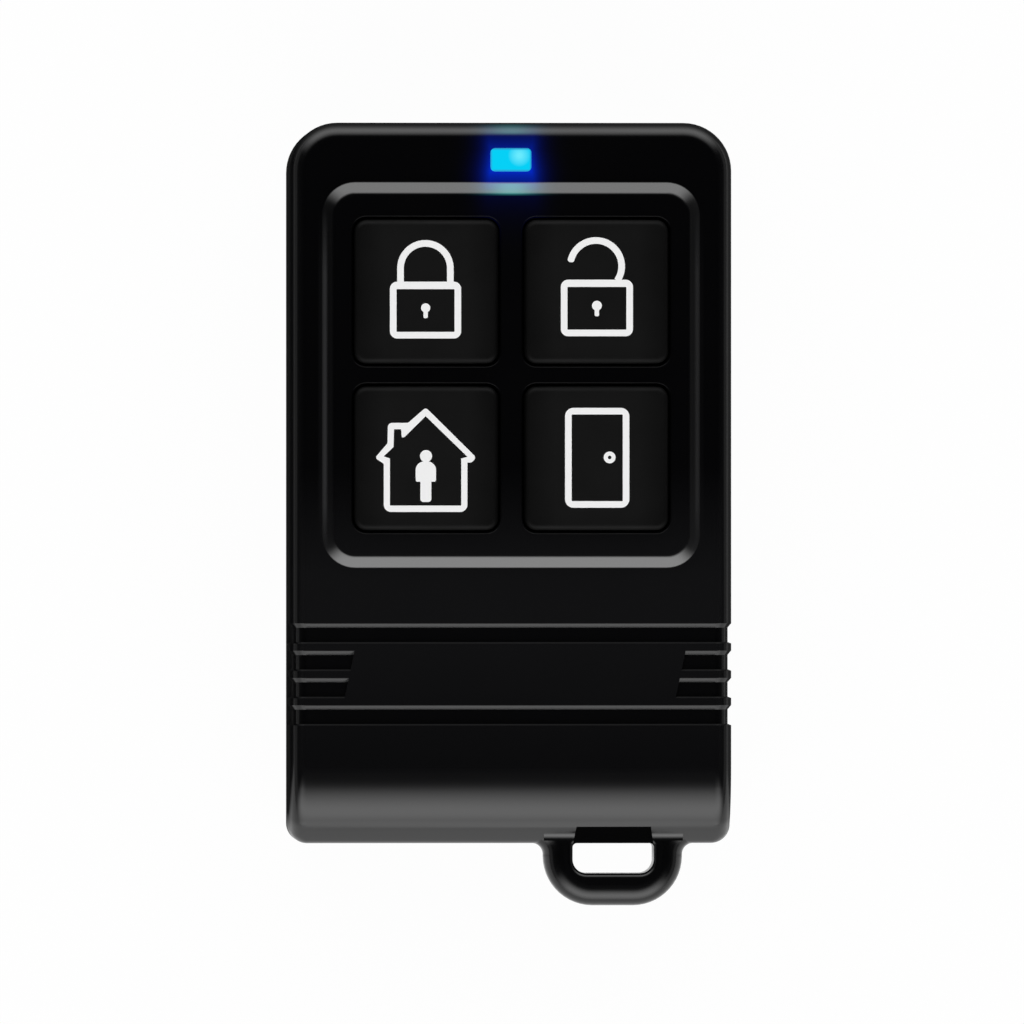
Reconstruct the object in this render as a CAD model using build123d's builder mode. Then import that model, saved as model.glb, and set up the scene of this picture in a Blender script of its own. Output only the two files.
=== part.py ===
from build123d import *

import os
from math import radians, sqrt, tan

# Car alarm remote: a key fob that lies on its back, its keys facing +Z.
# The lamp end points to +Y and the keyring loop to -Y. Sizes are in millimetres.

# Casing
WIDTH = 36.8
BODY_LENGTH = 60.0
TOP_CORNER = 4.0
END_CORNER = 1.55
EDGE_RADIUS = 1.4
REAR_RADIUS = 1.5
WALL = 1.5
PARTING_Z = 4.6
END_DROP = 4.0
LIP_HEIGHT = 0.9
LIP_THICKNESS = 0.65
LIP_GAP = 0.1

# Keyring loop, moulded on the front shell, and the relief cut above its hole
LOOP_X = 8.65
LOOP_REACH = 5.2
LOOP_WIDTH = 11.6
LOOP_THICKNESS = 4.2
LOOP_LIFT = 1.7
LOOP_CORNER = 4.1
LOOP_FLARE = 0.95
LOOP_ROOT = 2.0
LOOP_BLEND = 0.85
LOOP_HOLE_WIDTH = 6.75
LOOP_HOLE_LENGTH = 2.5
LOOP_HOLE_CORNER = 1.15
LOOP_HOLE_TOP_CORNER = 0.35
LOOP_OUTER_ROUND = 1.7
LOOP_INNER_ROUND = 0.4
RELIEF_DEPTH = 1.4
RELIEF_SINK = 0.2
RELIEF_MARGIN = 0.15
RELIEF_ANGLE = 80

# Raised keypad panel
PANEL_SIDE_MARGIN = 2.65
PANEL_TOP_MARGIN = 4.95
PANEL_END_MARGIN = 22.95
PANEL_CORNER = 2.8
PANEL_RISE = 0.6
PANEL_SLOPE = 1.0
PANEL_SKIN = 1.8
PANEL_ROUND = 0.6

# Keys
KEY_RIM_X = 2.7
KEY_RIM_Y = 3.15
KEY_WEB_X = 2.2
KEY_WEB_Y = 1.9
KEY_CORNER = 1.0
KEY_RISE = 0.4
KEY_GAP = 0.18
KEY_ROUND = 0.5
WINDOW_ROUND = 0.2
FLANGE_REACH = 0.5
FLANGE_THICKNESS = 0.8
FLANGE_GAP = 0.1
POST_DIAMETER = 3.6
POST_LEAST = 0.3
PRESS_GAP = 0.25

# Rubber mat round the keys
MAT_THICKNESS = 1.0
MAT_GAP = 0.15
MAT_MARGIN = 1.45
MAT_CORNER = 1.0
PEG_DIAMETER = 0.9
PEG_GAP = 0.1
PEG_DROP = 1.5

# Waist grooves, counted from the keyring end
GROOVE_FIRST = 10.58
GROOVE_PITCH = 2.27
GROOVE_COUNT = 4
GROOVE_FLOOR = 1.2
GROOVE_DEPTH = 0.3
GROOVE_SLOPE = 0.36
GROOVE_STEP = 0.12
BAND_LEFT = -13.45
BAND_RIGHT = 14.1
BAND_SLANT = 12.0

# Lamp window
LENS_WIDTH = 3.4
LENS_LENGTH = 1.95
LENS_CORNER = 0.4
LENS_TOP_MARGIN = 1.6
LENS_GAP = 0.04
LENS_SINK = 0.08
LENS_FLANGE = 0.8
LENS_FLANGE_THICKNESS = 0.8
LENS_LED_GAP = 0.4

# Circuit board and what is soldered to it
BOARD_Z = 4.4
BOARD_THICKNESS = 1.2
BOARD_GAP = 0.4
SWITCH_SIZE = 6.0
SWITCH_BASE_HEIGHT = 3.1
SWITCH_COVER_THICKNESS = 0.3
SWITCH_HEIGHT = 5.0
PLUNGER_DIAMETER = 3.4
PLUNGER_GAP = 0.08
PLUNGER_EDGE = 0.15
COLLAR_DIAMETER = 4.3
COLLAR_THICKNESS = 0.4
COLLAR_GAP = 0.2
CUP_DEPTH = 1.0
COVER_TAB = 0.2
LEG_THICKNESS = 0.2
LEG_WIDTH = 0.7
LEG_SPACING = 4.5
LEG_FOOT = 1.2
LEG_RISE = 1.0
LED_WIDTH = 2.0
LED_LENGTH = 1.25
LED_HEIGHT = 0.7
LED_CROWN_WIDTH = 1.2
DRAFT = 6
CHIP_LENGTH = 8.7
CHIP_WIDTH = 3.9
CHIP_HEIGHT = 1.5
CHIP_LIFT = 0.1
CHIP_EDGE = 0.2
CHIP_PIN_PITCH = 1.27
CHIP_PINS_PER_SIDE = 7
CHIP_PIN_KNEE = 0.4
CHIP_PIN_REACH = 1.1
CHIP_INSET_X = 5.4
CHIP_INSET_Y = 6.4
CAN_DIAMETER = 9.2
CAN_HEIGHT = 3.4
CAN_RIM = 0.4
CAN_INSET_X = 6.9
CAN_INSET_Y = 6.0
TRANSISTOR_X = 0.6
TRANSISTOR_INSET_Y = 9.6
TRANSISTOR_WIDTH = 2.9
TRANSISTOR_LENGTH = 1.3
TRANSISTOR_HEIGHT = 1.1
PASSIVE_LENGTH = 1.6
PASSIVE_WIDTH = 0.8
RESISTOR_HEIGHT = 0.45
CAPACITOR_HEIGHT = 0.8
CAPACITOR_INSET_Y = 11.2

# 12 V cell and its contacts
CELL_DIAMETER = 10.3
CELL_LENGTH = 28.5
CELL_X = 0.85
CELL_GAP = 0.2
CELL_TOP_GAP = 0.15
SLEEVE_WALL = 0.18
CELL_FIT = 0.04
NUB_DIAMETER = 3.4
NUB_LENGTH = 1.3
NUB_EDGE = 0.25
SLEEVE_EDGE = 0.15
BATTERY_EDGE = 0.4
CAP_DIAMETER = 7.4
CAP_THICKNESS = 0.35
CONTACT_THICKNESS = 0.35
CONTACT_WIDTH = 7.0
CONTACT_TAIL_WIDTH = 2.0
CONTACT_MARGIN = 1.0
CONTACT_CORNER = 1.0
CONTACT_FOOT = 2.6
CONTACT_TAIL_REACH = 1.8
CONTACT_SEAT = 0.9
CELL_BAY_GAP = 0.4
LEAF_THICKNESS = 0.3
LEAF_WIDTH = 5.0
LEAF_BOW = 3.2
LEAF_MARGIN = 0.5
CONTACT_FIT = 0.05

# Battery door
DOOR_SIDE_MARGIN = 2.65
DOOR_RECESS = 0.15
DOOR_PLATE = 1.2
DOOR_GAP = 0.15
DOOR_END_WALL = 1.2
TONGUE_REACH = 0.9
TONGUE_THICKNESS = 0.6
TONGUE_GAP = 0.1
LATCH_WIDTH = 6.0
LATCH_REACH = 1.1
GRIP_COUNT = 5
GRIP_PITCH = 1.7
GRIP_LENGTH = 13.0
GRIP_WIDTH = 0.8
GRIP_DEPTH = 0.35

# Case screws and the posts inside
SCREW_INSET_X = 4.1
SCREW_INSET_Y = 3.9
SCREW_SHANK = 1.9
SCREW_HEAD = 3.6
SCREW_HEAD_HEIGHT = 1.2
SCREW_LENGTH = 8.0
SCREW_SEAT_Z = 1.9
SCREW_FIT = 0.05
HEAD_GAP = 0.2
SCREW_HEAD_EDGE = 0.4
SCREW_TIP_GAP = 0.7
RECESS_WIDTH = 0.5
RECESS_LENGTH = 2.2
RECESS_DEPTH = 0.7
FRONT_BOSS = 3.9
REAR_BOSS = 5.4
BOSS_GAP = 0.1
BOARD_POST = 2.4
BOARD_POST_INSET = 6.0
HOLD_DOWN_PIN = 1.6
HOLD_DOWN_INSET = 3.7
HOLD_DOWN_GAP = 0.1
RIB = 0.8
RIB_GAP = 0.25

# How far one feature runs into another of its own moulding, and how far a cut runs out of it
MERGE = 0.1
OVERCUT = 1.0

# Heights worked out from those
DOOR_TOP_Z = DOOR_RECESS + DOOR_PLATE
CELL_Z = DOOR_TOP_Z + CELL_GAP + CELL_DIAMETER / 2
BOARD_TOP_Z = BOARD_Z + BOARD_THICKNESS
COVER_Z = BOARD_TOP_Z + SWITCH_BASE_HEIGHT
PLUNGER_TOP_Z = BOARD_TOP_Z + SWITCH_HEIGHT
POST_Z = PLUNGER_TOP_Z + PRESS_GAP
# The casing is as high inside as the cell or the keys on their switches need
CELL_TOP_Z = CELL_Z + CELL_DIAMETER / 2 + CELL_TOP_GAP
KEY_STACK_Z = POST_Z + POST_LEAST + FLANGE_THICKNESS + FLANGE_GAP
CEILING_Z = max(CELL_TOP_Z, KEY_STACK_Z + PANEL_SKIN - PANEL_RISE - WALL)
FRONT_Z = CEILING_Z + WALL
PANEL_Z = FRONT_Z + PANEL_RISE
PANEL_CEILING_Z = PANEL_Z - PANEL_SKIN
KEY_TOP_Z = PANEL_Z + KEY_RISE
FLANGE_TOP_Z = PANEL_CEILING_Z - FLANGE_GAP
FLANGE_Z = FLANGE_TOP_Z - FLANGE_THICKNESS
LOOP_Z = PARTING_Z + LOOP_LIFT
LOOP_TOP_Z = LOOP_Z + LOOP_THICKNESS
RELIEF_Z = LOOP_TOP_Z - RELIEF_SINK
COLLAR_Z = COVER_Z - COLLAR_GAP - COLLAR_THICKNESS
LENS_Z = BOARD_TOP_Z + LED_HEIGHT + LENS_LED_GAP
HEAD_Z = SCREW_SEAT_Z - SCREW_HEAD_HEIGHT

BOTTOM = (Align.CENTER, Align.CENTER, Align.MIN)
HUNG = (Align.CENTER, Align.CENTER, Align.MAX)
FROM_END = (Align.CENTER, Align.MIN, Align.MIN)

# Places in plan
TOP_Y = (BODY_LENGTH + LOOP_REACH) / 2
END_Y = TOP_Y - BODY_LENGTH
MID_Y = TOP_Y - BODY_LENGTH / 2
CELL_Y = END_Y + WALL + CELL_GAP + CELL_DIAMETER / 2
CELL_LEFT = CELL_X - CELL_LENGTH / 2
CELL_RIGHT = CELL_X + CELL_LENGTH / 2
LEAF_BACK_X = CELL_LEFT - LEAF_BOW
END_RUN = WALL + CELL_DIAMETER / 2
END_RADIUS = (END_RUN**2 + END_DROP**2) / (2 * END_DROP)
END_CENTRE_Z = FRONT_Z - END_RADIUS
DOOR_EDGE_Y = CELL_Y + CELL_DIAMETER / 2 + CELL_BAY_GAP
DIVIDER_Y = DOOR_EDGE_Y + DOOR_GAP + RIB_GAP
BOARD_END_Y = DIVIDER_Y + RIB + RIB_GAP
INNER_X = WIDTH / 2 - WALL
DOOR_HALF_WIDTH = WIDTH / 2 - DOOR_SIDE_MARGIN
BOSS_NOTCH = FRONT_BOSS / 2 + BOARD_GAP
LENS_Y = TOP_Y - WALL - LENS_TOP_MARGIN
SCREW_XY = [
    (-WIDTH / 2 + SCREW_INSET_X, TOP_Y - SCREW_INSET_Y),
    (WIDTH / 2 - SCREW_INSET_X, TOP_Y - SCREW_INSET_Y),
    (0, BOARD_END_Y + BOSS_NOTCH + RIB),
]

# The panel reaches from above the waist to below the lamp, and four keys share it
PANEL_WIDTH = WIDTH - 2 * PANEL_SIDE_MARGIN
PANEL_LENGTH = BODY_LENGTH - PANEL_TOP_MARGIN - PANEL_END_MARGIN
PANEL_Y = END_Y + PANEL_END_MARGIN + PANEL_LENGTH / 2
KEY_WIDTH = (PANEL_WIDTH - 2 * KEY_RIM_X - KEY_WEB_X) / 2
KEY_LENGTH = (PANEL_LENGTH - 2 * KEY_RIM_Y - KEY_WEB_Y) / 2
KEY_DX = (KEY_WIDTH + KEY_WEB_X) / 2
KEY_DY = (KEY_LENGTH + KEY_WEB_Y) / 2
KEY_XY = {
    "lock": (-KEY_DX, PANEL_Y + KEY_DY),
    "unlock": (KEY_DX, PANEL_Y + KEY_DY),
    "home": (-KEY_DX, PANEL_Y - KEY_DY),
    "door": (KEY_DX, PANEL_Y - KEY_DY),
}
MAT_HOLE_WIDTH = KEY_WIDTH + 2 * (FLANGE_REACH + MAT_GAP)
MAT_HOLE_LENGTH = KEY_LENGTH + 2 * (FLANGE_REACH + MAT_GAP)
MAT_WIDTH = 2 * (KEY_DX + MAT_HOLE_WIDTH / 2 + MAT_MARGIN)
MAT_LENGTH = 2 * (KEY_DY + MAT_HOLE_LENGTH / 2 + MAT_MARGIN)
PEG_XY = [
    (sx * (MAT_WIDTH / 2 - 2 * MAT_MARGIN), PANEL_Y + sy * (MAT_LENGTH - MAT_MARGIN) / 2)
    for sx in (-1, 1)
    for sy in (-1, 1)
]
HOLD_DOWN_XY = [
    (side * (WIDTH / 2 - HOLD_DOWN_INSET), BOARD_END_Y + HOLD_DOWN_INSET + HOLD_DOWN_PIN)
    for side in (-1, 1)
]
BOARD_POST_XY = [
    (side * (WIDTH / 2 - BOARD_POST_INSET), KEY_XY[name][1])
    for side in (-1, 1)
    for name in ("home", "lock")
]
GROOVE_YS = [END_Y + GROOVE_FIRST + i * GROOVE_PITCH for i in range(GROOVE_COUNT)]

os.makedirs("parts", exist_ok=True)


def save(part, name):
    """Name a finished piece and write it."""
    part.label = name
    export_step(part, f"parts/{name}.step")


def casing_plan(z, inset=0.0):
    """The casing's outline at height z, drawn this far inside its outer wall."""
    with BuildSketch(Plane.XY.offset(z)) as plan:
        with Locations((0, MID_Y)):
            Rectangle(WIDTH - 2 * inset, BODY_LENGTH - 2 * inset)
        fillet(plan.vertices().group_by(Axis.Y)[-1], TOP_CORNER - inset)
        fillet(plan.vertices().group_by(Axis.Y)[0], max(END_CORNER - inset, 0.3))
    return plan.sketch


def end_profile(inset=0.0):
    """The front shell seen from its side, with the face curving down at the keyring end."""
    radius = END_RADIUS - inset
    run = END_RUN - inset
    wall_top = (END_Y + inset, END_CENTRE_Z + sqrt(radius**2 - run**2))
    curve_top = (END_Y + END_RUN, FRONT_Z - inset)
    low = PARTING_Z - OVERCUT
    with BuildSketch(Plane.YZ) as side:
        with BuildLine():
            TangentArc(curve_top, wall_top, tangent=(-1, 0))
            Polyline(
                wall_top,
                (END_Y + inset, low),
                (TOP_Y + OVERCUT, low),
                (TOP_Y + OVERCUT, FRONT_Z - inset),
                curve_top,
            )
        make_face()
    return side.sketch


# Waist grooves of the front shell: four that run up one side, over the face and down the
# other. Each slopes on its far side and has a steep step on its near side. The two inner
# ones stop at a bare slanted band in the middle of the face.
with BuildPart() as grooves:
    for y in GROOVE_YS:
        with BuildLine(Plane.XZ.offset(-y)):
            FilletPolyline(
                (-WIDTH / 2, PARTING_Z - OVERCUT),
                (-WIDTH / 2, FRONT_Z),
                (WIDTH / 2, FRONT_Z),
                (WIDTH / 2, PARTING_Z - OVERCUT),
                radius=EDGE_RADIUS,
            )
        foot = Plane((-WIDTH / 2, y, PARTING_Z - OVERCUT), x_dir=(0, 1, 0), z_dir=(0, 0, 1))
        with BuildSketch(foot):
            Polygon(
                (-GROOVE_FLOOR / 2, -GROOVE_DEPTH),
                (GROOVE_FLOOR / 2, -GROOVE_DEPTH),
                (GROOVE_FLOOR / 2 + 2 * GROOVE_SLOPE, GROOVE_DEPTH),
                (-GROOVE_FLOOR / 2 - 2 * GROOVE_STEP, GROOVE_DEPTH),
            )
        sweep()
    band_y = (GROOVE_YS[1] + GROOVE_YS[2]) / 2
    lean = GROOVE_PITCH * tan(radians(BAND_SLANT))
    with BuildSketch(Plane.XY.offset(FRONT_Z - 2 * GROOVE_DEPTH)):
        Polygon(
            (BAND_LEFT - lean, band_y - GROOVE_PITCH),
            (BAND_RIGHT - lean, band_y - GROOVE_PITCH),
            (BAND_RIGHT + lean, band_y + GROOVE_PITCH),
            (BAND_LEFT + lean, band_y + GROOVE_PITCH),
        )
    extrude(amount=4 * GROOVE_DEPTH, mode=Mode.SUBTRACT)

# Keyring loop: a rounded bar round a slot, flaring into the end wall.
with BuildPart() as loop:
    half = LOOP_WIDTH / 2
    flare_radius = LOOP_FLARE * 0.999
    with BuildSketch(Plane.XY.offset(LOOP_Z)):
        with BuildLine():
            FilletPolyline(
                (LOOP_X - half - LOOP_FLARE, END_Y),
                (LOOP_X - half, END_Y),
                (LOOP_X - half, END_Y - LOOP_REACH),
                (LOOP_X + half, END_Y - LOOP_REACH),
                (LOOP_X + half, END_Y),
                (LOOP_X + half + LOOP_FLARE, END_Y),
                radius=[flare_radius, LOOP_CORNER, LOOP_CORNER, flare_radius],
            )
            Polyline(
                (LOOP_X + half + LOOP_FLARE, END_Y),
                (LOOP_X + half + LOOP_FLARE, END_Y + LOOP_ROOT),
                (LOOP_X - half - LOOP_FLARE, END_Y + LOOP_ROOT),
                (LOOP_X - half - LOOP_FLARE, END_Y),
            )
        make_face()
    extrude(amount=LOOP_THICKNESS)
    ends = loop.faces().filter_by(Axis.Z).edges()
    fillet(ends.filter_by_position(Axis.Y, END_Y - LOOP_REACH, END_Y), LOOP_OUTER_ROUND)
    # The slot's upper side lies in the casing's end wall
    with BuildSketch(Plane.XY.offset(LOOP_Z)) as slot:
        with Locations((LOOP_X, END_Y - LOOP_HOLE_LENGTH / 2)):
            Rectangle(LOOP_HOLE_WIDTH, LOOP_HOLE_LENGTH)
        fillet(slot.vertices().group_by(Axis.Y)[0], LOOP_HOLE_CORNER)
        fillet(slot.vertices().group_by(Axis.Y)[-1], LOOP_HOLE_TOP_CORNER)
    extrude(amount=LOOP_THICKNESS, mode=Mode.SUBTRACT)
    ends = loop.faces().filter_by(Axis.Z)
    fillet([wire.edges() for face in ends for wire in face.inner_wires()], LOOP_INNER_ROUND)

    # Concave blend from the arms' tops into the curved end, touching both
    reach = END_RADIUS + LOOP_BLEND
    rise = LOOP_TOP_Z + LOOP_BLEND - END_CENTRE_Z
    run = sqrt(reach**2 - rise**2)
    blend_y = END_Y + END_RUN - run
    touch_y = END_Y + END_RUN - run * END_RADIUS / reach
    touch_z = END_CENTRE_Z + rise * END_RADIUS / reach
    with BuildSketch(Plane.YZ.offset(LOOP_X - half)):
        Polygon(
            (blend_y, LOOP_TOP_Z - MERGE),
            (touch_y, LOOP_TOP_Z - MERGE),
            (touch_y, touch_z),
            (blend_y, touch_z),
        )
        with Locations((blend_y, LOOP_TOP_Z + LOOP_BLEND)):
            Circle(LOOP_BLEND, mode=Mode.SUBTRACT)
    extrude(amount=LOOP_WIDTH)

# Relief over the slot, a pocket in the curved end that lets the ring swing up.
with BuildPart() as relief:
    with BuildSketch(Plane.XY.offset(RELIEF_Z)):
        with Locations((LOOP_X, END_Y + (RELIEF_DEPTH - OVERCUT) / 2)):
            Trapezoid(
                LOOP_HOLE_WIDTH + 2 * RELIEF_MARGIN, RELIEF_DEPTH + OVERCUT, RELIEF_ANGLE
            )
    extrude(amount=FRONT_Z - RELIEF_Z)

# Hollow of the front shell, with the pocket that takes the rubber mat
with BuildPart() as front_hollow:
    extrude(casing_plan(PARTING_Z - OVERCUT, WALL), amount=CEILING_Z - PARTING_Z + OVERCUT)
    extrude(end_profile(WALL), amount=WIDTH, both=True, mode=Mode.INTERSECT)
    with BuildSketch(Plane.XY.offset(CEILING_Z - OVERCUT)):
        with Locations((0, PANEL_Y)):
            RectangleRounded(MAT_WIDTH + 2 * PEG_GAP, MAT_LENGTH + 2 * PEG_GAP, MAT_CORNER)
    extrude(amount=PANEL_CEILING_Z - CEILING_Z + OVERCUT)

# Front shell: casing face, sides, keypad panel, waist grooves and keyring loop
with BuildPart() as front_shell:
    extrude(casing_plan(PARTING_Z), amount=FRONT_Z - PARTING_Z)
    extrude(end_profile(), amount=WIDTH, both=True, mode=Mode.INTERSECT)
    rim = front_shell.edges().filter_by(Axis.Z, reverse=True)
    rim = rim.filter_by_position(Axis.Z, PARTING_Z + EDGE_RADIUS, FRONT_Z)
    rim = rim.filter_by(lambda edge: abs(edge.center().Y - END_Y - END_RUN) > 0.01)
    fillet(rim, EDGE_RADIUS)
    with BuildSketch(Plane.XY.offset(FRONT_Z)):
        with Locations((0, PANEL_Y)):
            RectangleRounded(PANEL_WIDTH, PANEL_LENGTH, PANEL_CORNER)
    with BuildSketch(Plane.XY.offset(PANEL_Z)):
        with Locations((0, PANEL_Y)):
            RectangleRounded(
                PANEL_WIDTH - 2 * PANEL_SLOPE,
                PANEL_LENGTH - 2 * PANEL_SLOPE,
                PANEL_CORNER - PANEL_SLOPE,
            )
    loft(ruled=True)
    fillet(front_shell.faces().sort_by(Axis.Z)[-1].edges(), PANEL_ROUND)
    add(loop.part)
    add(relief.part, mode=Mode.SUBTRACT)
    add(front_hollow.part, mode=Mode.SUBTRACT)
    add(grooves.part, mode=Mode.SUBTRACT)
    # Step round the mouth, which takes the rear shell's lip
    with BuildSketch(Plane.XY.offset(PARTING_Z)):
        add(casing_plan(PARTING_Z, WALL - LIP_THICKNESS - LIP_GAP))
        with Locations((0, DOOR_EDGE_Y)):
            Rectangle(WIDTH, BODY_LENGTH, align=(Align.CENTER, Align.MIN), mode=Mode.INTERSECT)
    extrude(amount=LIP_HEIGHT + LIP_GAP, mode=Mode.SUBTRACT)
    # Key windows
    with BuildSketch(Plane.XY.offset(PANEL_CEILING_Z)):
        with Locations(*KEY_XY.values()):
            RectangleRounded(KEY_WIDTH + 2 * KEY_GAP, KEY_LENGTH + 2 * KEY_GAP, KEY_CORNER + KEY_GAP)
    extrude(amount=PANEL_SKIN, mode=Mode.SUBTRACT)
    panel_face = front_shell.faces().sort_by(Axis.Z)[-1]
    fillet([wire.edges() for wire in panel_face.inner_wires()], WINDOW_ROUND)
    # Lamp window
    with BuildSketch(Plane.XY.offset(CEILING_Z)):
        with Locations((0, LENS_Y)):
            RectangleRounded(LENS_WIDTH, LENS_LENGTH, LENS_CORNER)
    extrude(amount=WALL, mode=Mode.SUBTRACT)
    # Screw towers, mat pegs and pins that hold the board down
    tower_z = BOARD_Z + BOSS_GAP
    hole_depth = SCREW_SEAT_Z + SCREW_LENGTH + SCREW_TIP_GAP - tower_z
    with Locations(*[(x, y, CEILING_Z) for x, y in SCREW_XY]):
        Cylinder(FRONT_BOSS / 2, CEILING_Z - tower_z, align=HUNG)
    with Locations(*[Plane((x, y, tower_z), z_dir=(0, 0, -1)) for x, y in SCREW_XY]):
        Hole(SCREW_SHANK / 2 + SCREW_FIT, depth=hole_depth)
    with Locations(*[(x, y, PANEL_CEILING_Z) for x, y in PEG_XY]):
        Cylinder(PEG_DIAMETER / 2, PEG_DROP, align=HUNG)
    with Locations(*[(x, y, CEILING_Z) for x, y in HOLD_DOWN_XY]):
        Cylinder(HOLD_DOWN_PIN / 2, CEILING_Z - BOARD_TOP_Z - HOLD_DOWN_GAP, align=HUNG)
save(front_shell.part, "front_shell")

# The rear casing as one block, shared by the rear shell and the battery door
with BuildPart() as rear_block:
    extrude(casing_plan(0), amount=PARTING_Z)
    fillet(rear_block.faces().sort_by(Axis.Z)[0].edges(), REAR_RADIUS)

# Rear shell: tray with the locating lip, screw towers, board posts and door rails
with BuildPart() as rear_shell:
    add(rear_block.part)
    with BuildSketch(Plane.XY.offset(PARTING_Z)):
        add(casing_plan(PARTING_Z, WALL - LIP_THICKNESS))
        with Locations((0, DOOR_EDGE_Y + OVERCUT)):
            Rectangle(WIDTH, BODY_LENGTH, align=(Align.CENTER, Align.MIN), mode=Mode.INTERSECT)
    extrude(amount=LIP_HEIGHT)
    extrude(casing_plan(WALL, WALL), amount=PARTING_Z + LIP_HEIGHT, mode=Mode.SUBTRACT)
    # Rails over the door's tongues
    opening_x = DOOR_HALF_WIDTH + DOOR_GAP
    rail_length = DOOR_EDGE_Y - END_Y - WALL
    for side in (-1, 1):
        with Locations((side * (opening_x + INNER_X + MERGE) / 2, END_Y + WALL, WALL)):
            Box(INNER_X + MERGE - opening_x, rail_length, RIB, align=FROM_END)
    # Divider between the cell bay and the board
    with Locations((0, DIVIDER_Y, WALL)):
        Box(2 * (INNER_X + MERGE), RIB, BOARD_TOP_Z - WALL - RIB_GAP, align=FROM_END)
    # Blocks that back the two battery contacts
    positive_back = CELL_RIGHT + CONTACT_FIT + CONTACT_THICKNESS
    for side, face in ((1, positive_back), (-1, -LEAF_BACK_X)):
        with Locations((side * (face + INNER_X + MERGE) / 2, CELL_Y, WALL)):
            Box(INNER_X + MERGE - face, LEAF_WIDTH, PARTING_Z - WALL - MERGE, align=BOTTOM)
    # Opening for the battery door, through the floor and the end wall
    opening_length = DOOR_EDGE_Y + DOOR_GAP - END_Y + OVERCUT
    with Locations((0, END_Y - OVERCUT, -OVERCUT)):
        Box(2 * opening_x, opening_length, WALL + OVERCUT, align=FROM_END, mode=Mode.SUBTRACT)
        Box(
            2 * opening_x,
            WALL + OVERCUT,
            PARTING_Z + 2 * OVERCUT,
            align=FROM_END,
            mode=Mode.SUBTRACT,
        )
    # Grooves for the door's side tongues and a pocket for its latch
    groove_z = DOOR_TOP_Z - TONGUE_THICKNESS - TONGUE_GAP
    with Locations((0, END_Y - OVERCUT, groove_z)):
        Box(
            2 * (DOOR_HALF_WIDTH + TONGUE_REACH + DOOR_GAP),
            opening_length,
            TONGUE_THICKNESS + 2 * TONGUE_GAP,
            align=FROM_END,
            mode=Mode.SUBTRACT,
        )
        Box(
            LATCH_WIDTH + 2 * DOOR_GAP,
            opening_length + LATCH_REACH,
            WALL - groove_z,
            align=FROM_END,
            mode=Mode.SUBTRACT,
        )
    # Screw towers, counterbored from the back
    with Locations(*[(x, y, WALL) for x, y in SCREW_XY]):
        Cylinder(REAR_BOSS / 2, BOARD_Z - WALL, align=BOTTOM)
    with Locations(*[Plane((x, y, 0), z_dir=(0, 0, -1)) for x, y in SCREW_XY]):
        CounterBoreHole(
            SCREW_SHANK / 2 + 3 * SCREW_FIT,
            SCREW_HEAD / 2 + HEAD_GAP,
            SCREW_SEAT_Z,
            depth=PARTING_Z,
        )
    # Posts that carry the board
    with Locations(*[(x, y, WALL) for x, y in BOARD_POST_XY]):
        Cylinder(BOARD_POST / 2, BOARD_Z - WALL, align=BOTTOM)
save(rear_shell.part, "rear_shell")

# Battery door: plate and end wall in one, with side tongues, a latch tab and thumb ridges
with BuildPart() as battery_door:
    add(rear_block.part)
    with Locations((0, END_Y, DOOR_RECESS)):
        Box(
            2 * DOOR_HALF_WIDTH,
            DOOR_EDGE_Y - END_Y,
            PARTING_Z - TONGUE_GAP - DOOR_RECESS,
            align=FROM_END,
            mode=Mode.INTERSECT,
        )
    with Locations((0, END_Y + DOOR_END_WALL, DOOR_TOP_Z)):
        Box(WIDTH, BODY_LENGTH, PARTING_Z, align=FROM_END, mode=Mode.SUBTRACT)
    with Locations((0, END_Y + REAR_RADIUS, DOOR_TOP_Z - TONGUE_THICKNESS)):
        Box(
            2 * (DOOR_HALF_WIDTH + TONGUE_REACH),
            DOOR_EDGE_Y - END_Y - REAR_RADIUS,
            TONGUE_THICKNESS,
            align=FROM_END,
        )
        Box(
            LATCH_WIDTH,
            DOOR_EDGE_Y + LATCH_REACH - END_Y - REAR_RADIUS,
            TONGUE_THICKNESS,
            align=FROM_END,
        )
    with BuildSketch(Plane.XY.offset(DOOR_RECESS)):
        with Locations((0, CELL_Y)):
            with GridLocations(0, GRIP_PITCH, 1, GRIP_COUNT):
                SlotOverall(GRIP_LENGTH, GRIP_WIDTH)
    extrude(amount=GRIP_DEPTH, mode=Mode.SUBTRACT)
save(battery_door.part, "battery_door")

# Keys: a cap with a flange that keeps it in, and a post over its switch
for name, (x, y) in KEY_XY.items():
    with BuildPart() as key:
        with BuildSketch(Plane((x, y, FLANGE_Z))):
            RectangleRounded(KEY_WIDTH, KEY_LENGTH, KEY_CORNER)
        extrude(amount=KEY_TOP_Z - FLANGE_Z)
        fillet(key.faces().sort_by(Axis.Z)[-1].edges(), KEY_ROUND)
        with BuildSketch(Plane((x, y, FLANGE_Z))):
            Rectangle(KEY_WIDTH + 2 * FLANGE_REACH, KEY_LENGTH + 2 * FLANGE_REACH)
        extrude(amount=FLANGE_THICKNESS)
        with BuildSketch(Plane((x, y, POST_Z))):
            Circle(POST_DIAMETER / 2)
        extrude(amount=FLANGE_Z - POST_Z)
    save(key.part, f"key_{name}")

# Rubber mat: a frame round the four keys, hung on the front shell's pegs
with BuildPart() as keypad_mat:
    with BuildSketch(Plane.XY.offset(PANEL_CEILING_Z - MAT_THICKNESS)):
        with Locations((0, PANEL_Y)):
            RectangleRounded(MAT_WIDTH, MAT_LENGTH, MAT_CORNER)
        with Locations(*KEY_XY.values()):
            Rectangle(MAT_HOLE_WIDTH, MAT_HOLE_LENGTH, mode=Mode.SUBTRACT)
        with Locations(*PEG_XY):
            Circle(PEG_DIAMETER / 2 + PEG_GAP, mode=Mode.SUBTRACT)
    extrude(amount=MAT_THICKNESS)
save(keypad_mat.part, "keypad_mat")

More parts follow.
